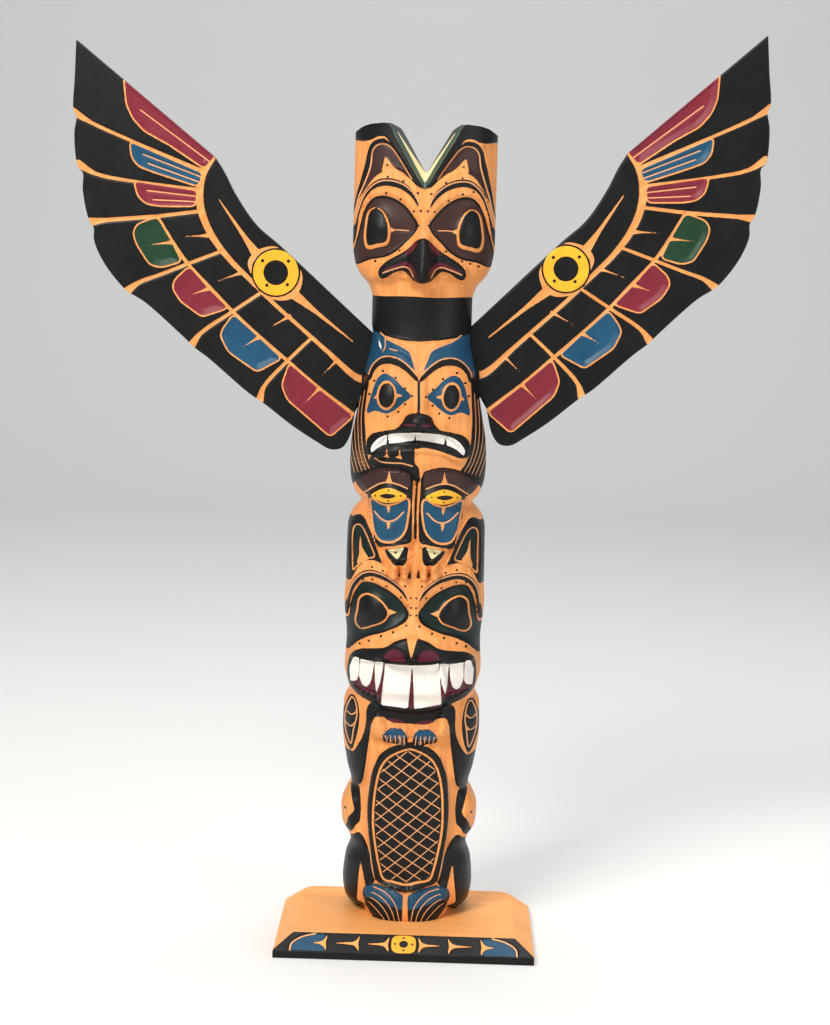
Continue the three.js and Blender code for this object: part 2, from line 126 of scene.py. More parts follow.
def away_from(chain, x, z, closed):
    """Distance of each point from the nearest step of a chain, and on which side of it it lies."""
    nearest = np.full(x.shape, 1e9)
    side = np.ones(x.shape)
    ends = np.roll(chain, -1, axis=0) if closed else chain[1:]
    for start, end in zip(chain, ends):
        step = end - start
        share = np.clip(((x - start[0]) * step[0] + (z - start[1]) * step[1]) / (step @ step + 1e-9), 0, 1)
        gap = np.hypot(x - start[0] - share * step[0], z - start[1] - share * step[1])
        closer = gap < nearest
        nearest = np.where(closer, gap, nearest)
        turn = step[0] * (z - start[1]) - step[1] * (x - start[0])
        side = np.where(closer, np.sign(turn), side)
    return nearest, side


def is_inside(chain, x, z):
    """Counts how often a ray to one side crosses the closed chain."""
    crossed = np.zeros(x.shape, bool)
    for start, end in zip(chain, np.roll(chain, 1, axis=0)):
        spans = (start[1] > z) != (end[1] > z)
        rise = end[1] - start[1] if end[1] != start[1] else 1e-9
        crossed ^= spans & (x < (end[0] - start[0]) * (z - start[1]) / rise + start[0])
    return crossed


def close_to(chain, x, z, margin):
    """Which points lie in the chain's box, widened by a margin."""
    low, high = chain.min(axis=0) - margin, chain.max(axis=0) + margin
    return (x > low[0]) & (x < high[0]) & (z > low[1]) & (z < high[1])


def within(chain, x, z, margin=reach):
    """How far each point lies inside a closed chain, negative outside it, up to the margin."""
    chain = np.asarray(chain, float)
    depth = np.full(x.shape, -margin)
    near = close_to(chain, x, z, margin)
    gap, _ = away_from(chain, x[near], z[near], True)
    depth[near] = np.where(is_inside(chain, x[near], z[near]), gap, -gap)
    return np.clip(depth, -margin, 4 * margin)


def in_ellipse(centre, radii, x, z):
    """How far inside an ellipse: one less the scaled distance, times the shorter radius."""
    return (1.0 - np.hypot((x - centre[0]) / radii[0], (z - centre[1]) / radii[1])) * min(radii)


class Coat:
    """The paint on one piece: for each colour, how far a point lies inside its edge, in mm. A new
    shape goes over what is there, and the colour that the shader lays first runs on a little under
    the other. Also the knife's work: how far the surface is lifted, the pale scored lines, as signed
    distance in half widths and plain distance in mm, and the dots of the brush."""

    def __init__(self, x, z, colours):
        self.x, self.z = x, z
        self.fields = {colour: np.full(x.shape, -reach) for colour in colours}
        self.marks = {mark: np.full(x.shape, far) for mark in ("line_side", "line_near", "dots")}
        self.lift = np.zeros(x.shape)

    def across(self, side):
        """The across coordinate: both sides alike, or the left or the right one alone."""
        return np.abs(self.x) if side == 0 else self.x * side

    def paint(self, colour, depth, lift=0.0, edge=1.6):
        """Lays a colour where depth is positive, or bares the wood, and lifts or sinks that area."""
        names = list(self.fields)
        laid = depth
        for place, name in enumerate(names):
            field = self.fields[name]
            if colour and place < names.index(colour):
                self.fields[name] = np.minimum(field, overlap - depth)
            elif name != colour:
                laid = np.maximum(laid, np.minimum(depth + overlap, field))
                self.fields[name] = np.minimum(field, -depth)
        if colour:
            self.fields[colour] = np.maximum(self.fields[colour], laid)
        if lift:
            self.lift += lift * smooth_step(depth / edge + 0.5)

    def shape(self, colour, points, side=0, lift=0.0, grow=0.0):
        """A closed smooth curve through a few points, grown by a margin."""
        self.paint(colour, within(rounded(points), self.across(side), self.z) + grow, lift)

    def panel(self, colour, points, side=0, lift=0.0, grow=0.0, soft=2.0):
        """A closed outline with straight sides and soft corners, grown by a margin."""
        self.paint(colour, within(filleted(points, soft), self.across(side), self.z) + grow, lift)

    def oval(self, colour, centre, radii, side=0, lift=0.0):
        self.paint(colour, in_ellipse(centre, radii, self.across(side), self.z), lift)

    def score(self, path, half=0.5, side=0, depth=0.5):
        """One scored line along a path, half its breadth each way, cut to a depth."""
        chain = bowed(path)
        x = self.across(side)
        near = close_to(chain, x, self.z, reach)
        gap, turn = away_from(chain, x[near], self.z[near], False)
        line_side, line_near = self.marks["line_side"], self.marks["line_near"]
        closer = gap < line_near[near]
        line_near[near] = np.where(closer, gap, line_near[near])
        line_side[near] = np.where(closer, turn * gap / half, line_side[near])
        self.lift[near] -= depth * smooth_step(1.4 - gap / (half + 0.5))

    def dot(self, centres, radius=1.0, side=0):
        """Round dots: squared distance from the nearest centre, less the squared radius."""
        for across, up in centres:
            square = (self.across(side) - across) ** 2 + (self.z - up) ** 2 - radius ** 2
            self.marks["dots"] = np.minimum(self.marks["dots"], square)

    def into(self, mesh, place, all_over=None):
        """Writes every field to the mesh's points at place. Points that no coat reaches have no
        marks, and are bare wood or have one paint all over."""
        for name, field in {**self.fields, **self.marks}.items():
            plain = far if name in self.marks else reach if name == all_over else -reach
            values = np.full(len(mesh.vertices), plain, np.float32)
            layer = mesh.attributes.get(name)
            if layer is None:
                layer = mesh.attributes.new(name, "FLOAT", "POINT")
            else:
                layer.data.foreach_get("value", values)
            values[place] = field
            layer.data.foreach_set("value", values)


def make_piece(name, points, faces, material, sharp=50):
    """A mesh piece from points in mm, with its faces turned out and smooth below a sharp angle."""
    mesh = bpy.data.meshes.new(name)
    mesh.from_pydata((np.asarray(points) / 1000).tolist(), [], faces)
    shell = bmesh.new()
    shell.from_mesh(mesh)
    bmesh.ops.recalc_face_normals(shell, faces=shell.faces)
    shell.to_mesh(mesh)
    shell.free()
    mesh.shade_smooth()
    mesh.set_sharp_from_angle(angle=math.radians(sharp))
    mesh.materials.append(material)
    piece = bpy.data.objects.new(name, mesh)
    bpy.context.scene.collection.objects.link(piece)
    return piece


def strip_faces(rows, columns, closed):
    """Four-sided faces between the rows and columns of a grid, closed round or open."""
    row, column = np.mgrid[0:rows - 1, 0:columns if closed else columns - 1]
    start = (row * columns + column).ravel()
    beside = (row * columns + (column + 1) % columns).ravel()
    return np.stack([start, beside, beside + columns, start + columns], axis=1).tolist()


def add_node(tree, kind, settings=None, **links):
    """A shader node with its settings, and its inputs set or linked by name, or by number as i0."""
    node = tree.nodes.new(kind)
    for name, value in (settings or {}).items():
        setattr(node, name, value)
    for name, value in links.items():
        numbered = name[0] == "i" and name[1:].isdigit()
        socket = node.inputs[int(name[1:]) if numbered else name.replace("_", " ")]
        if isinstance(value, bpy.types.NodeSocket):
            tree.links.new(value, socket)
        else:
            socket.default_value = value
    return node


def worked(tree, operation, *values):
    """One step of arithmetic on numbers or sockets."""
    given = {f"i{place}": value for place, value in enumerate(values)}
    return add_node(tree, "ShaderNodeMath", {"operation": operation}, **given).outputs[0]


def scaled(tree, vector, share):
    """A colour or a vector times a share."""
    settings = {"operation": "SCALE"}
    return add_node(tree, "ShaderNodeVectorMath", settings, i0=vector, Scale=share).outputs[0]


def drawn_out(tree, place, share):
    """Places with their height shortened, so that a noise on them is drawn out along the grain."""
    settings, squeeze = {"operation": "MULTIPLY"}, (1.0, 1.0, share)
    return add_node(tree, "ShaderNodeVectorMath", settings, i0=place, i1=squeeze).outputs[0]


def turned(tree, place, angle):
    """Places turned about the depth axis, by an angle in degrees."""
    turn = (0.0, math.radians(angle), 0.0)
    return add_node(tree, "ShaderNodeMapping", None, Vector=place, Rotation=turn).outputs[0]


def noise(tree, place, scale, detail, **more):
    """Smooth noise over a place."""
    given = {"Vector": place, "Scale": scale, "Detail": detail, **more}
    return add_node(tree, "ShaderNodeTexNoise", None, **given).outputs[0]


def spread(tree, value, low, high, to_low=0.0, to_high=1.0):
    """Takes the range from low to high over to another, and holds it at the ends."""
    return add_node(tree, "ShaderNodeMapRange", None, Value=value, From_Min=low, From_Max=high,
                    To_Min=to_low, To_Max=to_high).outputs[0]


def threshold(tree, value, limit):
    """1 where the value is under the limit, over a soft tenth."""
    return spread(tree, value, limit + 0.08, limit - 0.08)


def mixed(tree, share, under, over):
    """Two colours mixed by a share."""
    settings = {"data_type": "RGBA"}
    return add_node(tree, "ShaderNodeMix", settings, Factor=share, i6=under, i7=over).outputs[2]


def field_of(tree, name):
    """What the mesh holds under that name."""
    return add_node(tree, "ShaderNodeAttribute", {"attribute_name": name}).outputs["Fac"]


def new_group(name, inputs, outputs):
    """A shader group with named inputs and outputs, each with its kind."""
    group = bpy.data.node_groups.new(name, "ShaderNodeTree")
    for way, sockets in (("INPUT", inputs), ("OUTPUT", outputs)):
        for title, kind in sockets.items():
            group.interface.new_socket(title, in_out=way, socket_type="NodeSocket" + kind)
    return group, group.nodes.new("NodeGroupInput").outputs, group.nodes.new("NodeGroupOutput").inputs


def place_group(tree, group, **links):
    """The outputs of a group that is set in a material."""
    return add_node(tree, "ShaderNodeGroup", {"node_tree": group}, **links).outputs


def wood_grain():
    """Straight cedar: long streaks that run along Z, fine fibre lines and slow changes of tone. Noise
    is stretched along the grain; the streaks mix two tones and the fibres give the height."""
    inputs = {"Place": "Vector", "Light": "Color", "Dark": "Color"}
    group, given, out = new_group("cedar grain", inputs, {"Colour": "Color", "Height": "Float"})
    long = drawn_out(group, given["Place"], 0.035)
    streaks = noise(group, long, 260.0, 5.0, Roughness=0.6, Distortion=0.25)
    fibres = noise(group, long, 1500.0, 3.0)
    clouds = noise(group, given["Place"], 24.0, 2.0)
    tone = mixed(group, spread(group, streaks, 0.28, 0.7), given["Dark"], given["Light"])
    slow = spread(group, clouds, 0.3, 0.7, 0.9, 1.05)
    group.links.new(scaled(group, tone, slow), out["Colour"])
    group.links.new(worked(group, "MULTIPLY_ADD", streaks, 0.6, fibres), out["Height"])
    return group


def paint_edge():
    """Where a coat of paint lies: its distance field, wavered by a fine noise as a brush does, and
    turned to a mask over about 0.2 mm."""
    inputs = {"Distance": "Float", "Place": "Vector"}
    group, given, out = new_group("paint edge", inputs, {"Mask": "Float"})
    waver = noise(group, given["Place"], 420.0, 2.0)
    shifted = worked(group, "MULTIPLY_ADD", waver, 0.45, given["Distance"])
    group.links.new(spread(group, shifted, 0.14, 0.31), out["Mask"])
    return group


def brush_marks():
    """Satin paint: strokes laid along the grain change its tone and its gloss a little."""
    group, given, out = new_group("brush marks", {"Place": "Vector"}, {"Tone": "Float", "Gloss": "Float"})
    strokes = noise(group, drawn_out(group, given["Place"], 0.12), 520.0, 4.0, Roughness=0.65)
    patches = noise(group, given["Place"], 40.0, 3.0)
    both = worked(group, "ADD", strokes, patches)
    group.links.new(spread(group, both, 0.7, 1.3, 0.88, 1.1), out["Tone"])
    group.links.new(spread(group, both, 0.7, 1.3, 0.36, 0.52), out["Gloss"])
    return group


grain_group, edge_group, brush_group = wood_grain(), paint_edge(), brush_marks()
bare_gloss = 0.46
film_height = 0.8
line_height = -3.0
oiled_sheen = 0.26


def painted_cedar(name, grain_turn, light, dark, paints, line_colour, extra_marks=None):
    """Oiled cedar under coats of satin paint. Each coat's mask comes from its own distance field, the
    scored lines show bare wood, and the dots are black."""
    material = bpy.data.materials.new(name)
    material.use_nodes = True
    tree = material.node_tree
    shader = tree.nodes["Principled BSDF"]
    place = add_node(tree, "ShaderNodeTexCoord").outputs["Object"]
    along = turned(tree, place, grain_turn)
    grain = place_group(tree, grain_group, Place=along, Light=pigment(light), Dark=pigment(dark))
    brush = place_group(tree, brush_group, Place=along)
    colour, painted = grain["Colour"], None
    for paint, rgb in paints.items():
        mask = place_group(tree, edge_group, Distance=field_of(tree, paint), Place=place)["Mask"]
        colour = mixed(tree, mask, colour, scaled(tree, pigment(rgb)[:3], brush["Tone"]))
        painted = mask if painted is None else worked(tree, "MAXIMUM", painted, mask)
    on_line = threshold(tree, worked(tree, "ABSOLUTE", field_of(tree, "line_side")), 1.0)
    by_line = threshold(tree, field_of(tree, "line_near"), 0.85)
    line = worked(tree, "MULTIPLY", on_line, by_line)
    if extra_marks:
        line = extra_marks(tree, place, line)
    colour = mixed(tree, line, colour, pigment(line_colour))
    colour = mixed(tree, threshold(tree, field_of(tree, "dots"), 0.0), colour, pigment(dot_paint))
    tree.links.new(colour, shader.inputs["Base Color"])
    gloss = add_node(tree, "ShaderNodeMix", None, Factor=painted, i2=bare_gloss, i3=brush["Gloss"])
    tree.links.new(gloss.outputs[0], shader.inputs["Roughness"])
    film = worked(tree, "MULTIPLY_ADD", painted, film_height, grain["Height"])
    film = worked(tree, "MULTIPLY_ADD", line, line_height, film)
    bump = add_node(tree, "ShaderNodeBump", None, Height=film, Strength=0.35, Distance=0.0002)
    tree.links.new(bump.outputs[0], shader.inputs["Normal"])
    shader.inputs["Specular IOR Level"].default_value = oiled_sheen
    return material


def board_ring(inset, back_inset, z):
    """One level of the board: straight front and sides, and a back with rounded corners."""
    left, right = base_low[0] + inset, base_high[0] - inset
    front, back = base_low[1] + inset, base_high[1] - back_inset
    count = board_side_columns
    turn = np.linspace(0, math.pi / 2, 9)
    corner_x = right - board_corner + board_corner * np.cos(turn)
    corner_y = back - board_corner + board_corner * np.sin(turn)
    up_side = np.linspace(front, back - board_corner, count + 2)[1:-1]
    down_side = np.linspace(back - board_corner, front, count + 2)[1:-1]
    along_back = np.linspace(right - board_corner, left + board_corner, count)[1:-1]
    x = np.concatenate([np.linspace(left, right, board_front_columns), np.full(count, right), corner_x,
                        along_back, (left + right) - corner_x[::-1], np.full(count, left)])
    y = np.concatenate([np.full(board_front_columns, front), up_side, corner_y,
                        np.full(along_back.size, back), corner_y[::-1], down_side])
    return np.stack([x, y, np.full(x.shape, z)], axis=1)


def bevel_levels():
    """Inset, back inset and height of each level, from the underside up the edge and the bevel, with
    the worn edges eased."""
    top = base_high[2]
    levels = [(board_worn, board_worn, 0.0), (0.0, 0.0, board_worn), (0.0, 0.0, board_edge - board_worn)]
    for share in np.linspace(0.03, 0.97, 19):
        height = board_edge + share * (top - board_edge)
        levels.append((share * board_bevel, share * board_back_bevel, height))
    for ease in (board_worn, 3 * board_worn):
        levels.append((board_bevel + ease, board_back_bevel + ease, top))
    return levels


def split_wedge(coat, across, length):
    """The bare wedge between two forms: a bowed bar across the bevel with a long point outwards."""
    coat.panel(None, [(across - 1.9, bevel_slope - 0.8), (across - 0.3, 11.4), (across + 1.9, 9.1),
                      (across + length, bevel_middle), (across + 1.9, 6.7), (across - 0.1, 4.4),
                      (across - 1.6, 0.7), (across - 1.5, 5.0), (across - 0.9, bevel_middle),
                      (across - 1.5, 10.8)], lift=-0.8)


levels = bevel_levels()
board_points = np.stack([board_ring(*level) for level in levels])
up_bevel = np.array([-1.0 if height < board_edge else inset * bevel_slope / board_bevel
                     for inset, _, height in levels])[:, None]
in_front = np.zeros(board_points.shape[:2], bool)
in_front[:-1, :board_front_columns] = True
along_front = np.where(in_front, board_points[:, :, 0], off_the_board)
board_coat = Coat(along_front, up_bevel + 0 * along_front, board_paints)
board_coat.panel("black", [(-5, -9), (170, -9), (170, bevel_slope + 0.2), (-5, bevel_slope + 0.2)])
board_coat.paint(None, np.where(in_front, -reach, reach))
board_coat.panel("blue", [(50.5, 1.0), (73.6, 1.0), (72.6, 6.4), (66, 11.6), (58, 14.2), (51.6, 14.6)],
                 lift=-0.4)
board_coat.score([(73.9, 1.2), (73.0, 6.8), (66.4, 12.3), (58, 15.0)], half=0.5)
for bar, point in ((11.2, 13.5), (30.6, 15.0), (51.8, 8.0)):
    split_wedge(board_coat, bar, point)
eye_across, eye_up, squareness = 8.0, 7.2, 3.4
eye_square = (np.abs(board_coat.x / eye_across) ** squareness
              + np.abs((board_coat.z - bevel_middle) / eye_up) ** squareness)
in_eye = np.clip((1 - eye_square ** (1 / squareness)) * eye_up, -reach, reach)
board_coat.paint("yellow", in_eye, lift=0.4)
board_coat.oval("black", (0, bevel_middle), (2.9, 2.9))
board_coat.dot([(0, bevel_middle + 5.0), (0, bevel_middle - 5.0), (5.6, bevel_middle)], radius=0.9)
board_lift = np.where(in_front, board_coat.lift, 0)
board_points[:, :, 1] -= board_lift * (base_high[2] - board_edge) / bevel_slope
board_points[:, :, 2] += board_lift * board_bevel / bevel_slope
rows, columns = board_points.shape[:2]
board_faces = strip_faces(rows, columns, True)
board_faces += [list(range(columns)), list(range((rows - 1) * columns, rows * columns))]
oiled_board = painted_cedar("oiled board", 90, natural_light, natural_dark, board_paints, board_line)
base_piece = make_piece("carved_board", board_points.reshape(-1, 3), board_faces, oiled_board)
board_coat.into(base_piece.data, np.arange(rows * columns).reshape(rows, columns))
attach(base_piece, "root")
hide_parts("base")


# Pole. One cedar billet about 526 mm tall, carved in front and on the sides, flat and plain behind:
# the thunderbird's head with its notched crest and beak, the bear with a fish tail in its mouth, the
# bird's legs, and the beaver. Carved first, then painted; it stands on the board.
pole_low, pole_high = (np.array(corner) * 1000 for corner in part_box("pole"))
pole_reach = 526.0
pole_plane = 20.0
board_top = base_high[2]
superellipse = 2.4
pole_columns = 134
row_pitch = 1.05
crest_rows_from = 478.0
crest_rows = 48
side_share = 0.2
full_depth = 36.0
bare_back = 2.0

painted_light = (242, 166, 96)
painted_dark = (220, 136, 72)
pole_line = (222, 156, 104)
# The brown also paints the shade between the bird's claws
# The cream also paints a highlight on the crest's notch, and the grey-green is green paint made paler for
# its sheen
pole_paints = {"black": (13, 13, 13), "blue": (22, 70, 98), "red": (88, 28, 42), "brown_and_shade": (58, 36, 33),
               "green": (10, 30, 27), "yellow": (238, 170, 44), "white": (240, 234, 225),
               "cream_and_highlight": (232, 216, 166), "green_with_sheen": (60, 78, 68)}


def graph(points):
    """A smooth line through [height, value] points: cubics whose slopes are the harmonic mean of the
    spans beside them, so that it never overshoots."""
    height, value = np.array(points, float).T
    rate = np.diff(value) / np.diff(height)
    slope = np.zeros(len(height))
    product = rate[:-1] * rate[1:]
    total = np.where(product > 0, rate[:-1] + rate[1:], 1.0)
    slope[1:-1] = np.where(product > 0, 2 * product / total, 0.0)

    def at(heights):
        level = np.clip(heights, height[0], height[-1])
        i = np.clip(np.searchsorted(height, level), 1, len(height) - 1)
        span = height[i] - height[i - 1]
        t = (level - height[i - 1]) / span
        bend = span * t * (1 - t) * (slope[i - 1] * (1 - t) - slope[i] * t)
        return value[i - 1] + (value[i] - value[i - 1]) * smooth_step(t) + bend
    return at


half_width = graph([
    [0, 35], [4, 39], [10, 42.4], [21, 43.8], [34, 42.6], [47, 38.8], [52, 40.5], [60, 45],
    [71, 45.9], [81, 42.4], [87, 39.5], [101, 42.8], [125, 46.1], [142, 45.7], [151, 42.4],
    [167, 45.9], [187, 44.9], [212, 47], [224, 46.4], [261, 45.9], [269, 44], [274.5, 40],
    [278, 36.8], [285, 41.6], [295, 44.7], [307, 45.4], [317, 45], [337, 41.7], [368, 36.1],
    [390, 32.3], [397, 33.1], [413, 33.1], [421, 35.5], [429, 42], [437, 45.3], [449, 46.9],
    [526, 46.8]])
front_depth = graph([
    [0, 15], [4, 23], [9, 28.5], [16, 31], [26, 33], [46, 35], [90, 36], [118, 37], [136, 38],
    [150, 41], [158, 46], [176, 47], [191, 45], [211, 43], [240, 43], [276, 40], [302, 41],
    [311, 42], [326, 43], [336, 43], [356, 42], [371, 40], [387, 37.5], [400, 36.6], [413, 36.6],
    [431, 38], [456, 38], [486, 36], [526, 33]])


def level_cut(points, height, edge):
    """A level panel with sloping edges; a negative height is cut in."""
    chain = rounded(points)
    return lambda x, z: height * smooth_step(within(chain, x, z, edge) / edge + 0.5)


def ridge_cut(points, half_breadth, height):
    """A ridge along a path, highest on it and gone at one and a half half-breadths."""
    chain = np.array(points, float)

    def cut(x, z):
        near = close_to(chain, x, z, 2 * half_breadth)
        lift = np.zeros(x.shape)
        gap, _ = away_from(chain, x[near], z[near], False)
        lift[near] = height * smooth_step(1.5 - gap / half_breadth)
        return lift
    return cut


def mound_cut(centre, radii, height):
    """A rounded mound, highest at its centre and gone at its radii."""
    return lambda x, z: height * smooth_step(
        1 - np.hypot((x - centre[0]) / radii[0], (z - centre[1]) / radii[1]))


beak_reach = graph([[419, 0], [423, 12], [426, 20], [431, 22], [438, 17], [446, 10], [452, 5], [458, 0]])
beak_breadth = graph([[420, 10], [431, 12], [441, 11], [452, 8], [458, 6]])
nose_reach = graph([[325, 0], [328, 8], [333, 11], [338, 9.5], [341, 6.5], [350, 5], [360, 2.5], [366, 0]])
nose_breadth = graph([[326, 20], [338, 15], [343, 8], [366, 5]])
snout_reach = graph([[176, 0], [178, 6], [184, 8], [191, 7], [200, 3], [212, 0]])
feet_reach = graph([[0, 26], [4, 19], [9, 13], [14, 9.6], [19, 6], [23, 2.5], [27, 0]])

long_teeth = level_cut([[-5, 176.5], [19, 176.5], [20, 147], [-5, 146]], 7.5, 1.6)
lower_lip = level_cut([[-5, 152], [20, 152], [34, 156], [44, 162], [42, 154], [26, 148], [12, 143],
                       [-5, 143]], 3, 3)

bird_head_cuts = [
    level_cut([[3, 460], [12, 474], [27, 480], [38, 474], [46, 452], [46, 434], [25, 440],
        [10, 449]], -3, 3),
    mound_cut((31, 457), (17, 20), 4.2),
    level_cut([[3, 470], [9, 482], [22, 489], [36, 483], [46, 460], [48, 474], [38, 488], [24, 497],
        [12, 493], [4, 485]], 1.8, 3),
    level_cut([[42, 480], [35, 507], [27, 513], [20, 508], [9, 490], [22, 497], [34, 491]], -1.8, 2.5),
    level_cut([[50, 470], [43, 500], [38, 513], [50, 514]], -2.5, 2.5),
    level_cut([[-4, 454], [7, 447], [20, 439], [29, 432], [27, 425], [19, 429], [11, 431], [6, 425],
        [-4, 424]], 4.5, 3),
    lambda x, z: beak_reach(z) * smooth_step(1 - x / beak_breadth(z)),
    level_cut([[-6, 385.5], [12, 386.5], [25, 389], [40, 393], [40, 421], [-6, 421]], -3.2, 2.5),
]
bear_cuts = [
    level_cut([[2, 362], [9, 370], [21, 374], [30, 369], [34, 358], [36, 368], [29, 376], [20, 380],
        [8, 375], [1, 367]], 2.2, 2.5),
    mound_cut((22, 350), (17, 20), 4),
    mound_cut((10, 338), (9, 15), -3.5),
    lambda x, z: nose_reach(z) * smooth_step(1.2 - x / nose_breadth(z)),
    level_cut([[-5, 340], [6, 338], [12, 332], [28, 326], [34, 320], [33, 311], [30, 315], [20, 325],
        [-5, 327]], 3, 2),
    level_cut([[-5, 327], [20, 325], [30, 316], [20, 315], [-5, 317]], -1.2, 2),
    level_cut([[-5, 327], [13, 326.5], [26, 321.5], [29, 314], [19, 318.5], [-5, 321]], 2, 1.4),
    level_cut([[-5, 319], [17, 319], [31, 312], [28, 308], [14, 313], [-5, 315]], 3, 2.5),
    mound_cut((0, 309), (34, 14), 3),
]
bird_leg_cuts = [
    level_cut([[2.4, 296], [8, 301.5], [23, 302.5], [38, 293], [32, 284], [29.5, 270], [24, 253],
        [3, 254]], 5, 3),
    mound_cut((17.5, 285), (16, 10), 2.6),
    level_cut([[4, 254], [20, 252], [18, 242], [13, 237], [5, 238]], 3.5, 3),
    ridge_cut([[6.5, 241], [6, 233]], 2.2, 6),
    ridge_cut([[13, 241], [13.6, 233]], 2.2, 6),
]
beaver_head_cuts = [
    level_cut([[20, 240], [28, 257], [32, 268], [40, 270], [45, 262], [45, 226], [36, 240],
        [27, 243]], 3, 2.5),
    level_cut([[25, 244], [31, 257], [36, 264], [41, 260], [41, 236], [34, 243]], -2.2, 2),
    level_cut([[3, 214], [9, 223], [21, 231], [33, 230], [44, 203], [46, 217], [38, 235], [28, 242],
        [14, 237], [5, 230]], 2, 3),
    level_cut([[3, 208], [12, 220], [27, 227], [37, 224], [46, 204], [46, 178], [33, 190],
        [12, 197]], -3, 3),
    mound_cut((28, 208), (17, 18), 4),
    lambda x, z: snout_reach(z) * smooth_step(1.15 - x / 30),
    level_cut([[-5, 194], [10, 191], [22, 185], [41, 179], [40, 176], [16, 177], [-5, 177]], 3, 2.5),
    long_teeth,
    level_cut([[20, 177], [40, 178], [42, 160], [31, 157], [20, 157]], 3.5, 2.5),
    lambda x, z: lower_lip(x, z) * (1 - long_teeth(x, z) / 7.5),
]
beaver_body_cuts = [
    level_cut([[22, 148], [29, 138], [31, 122], [39, 108], [40, 97], [33, 88], [29, 104], [27, 125],
        [19, 140]], 2.6, 3),
    mound_cut((21, 130), (8, 13), 8),
    level_cut([[2, 131], [15, 131], [18, 126], [15, 121], [2, 121]], 5, 3),
    level_cut([[-5, 121], [11, 119], [21, 110], [26.5, 84], [26, 55], [20.5, 26], [12, 22],
        [-5, 22]], 4.2, 2.5),
    lambda x, z: 2.2 * smooth_step(1 - np.hypot(x / 34, (z - 72) / 60)),
    mound_cut((32, 71), (8, 24), -4),
    mound_cut((41, 71), (10, 16), 2.5),
    level_cut([[32, 56], [27, 46], [22, 26], [24, 12], [30, 4], [42, 14], [43, 38], [38, 54]], 3, 3.5),
    lambda x, z: feet_reach(z) * np.sqrt(np.clip(1 - (x / 28) ** 3, 0, 1)),
    lambda x, z: -1.6 * smooth_step((27 - z) / 4) * smooth_step(1.4 - x / 2.4),
]
pole_cuts = bird_head_cuts + bear_cuts + bird_leg_cuts + beaver_head_cuts + beaver_body_cuts


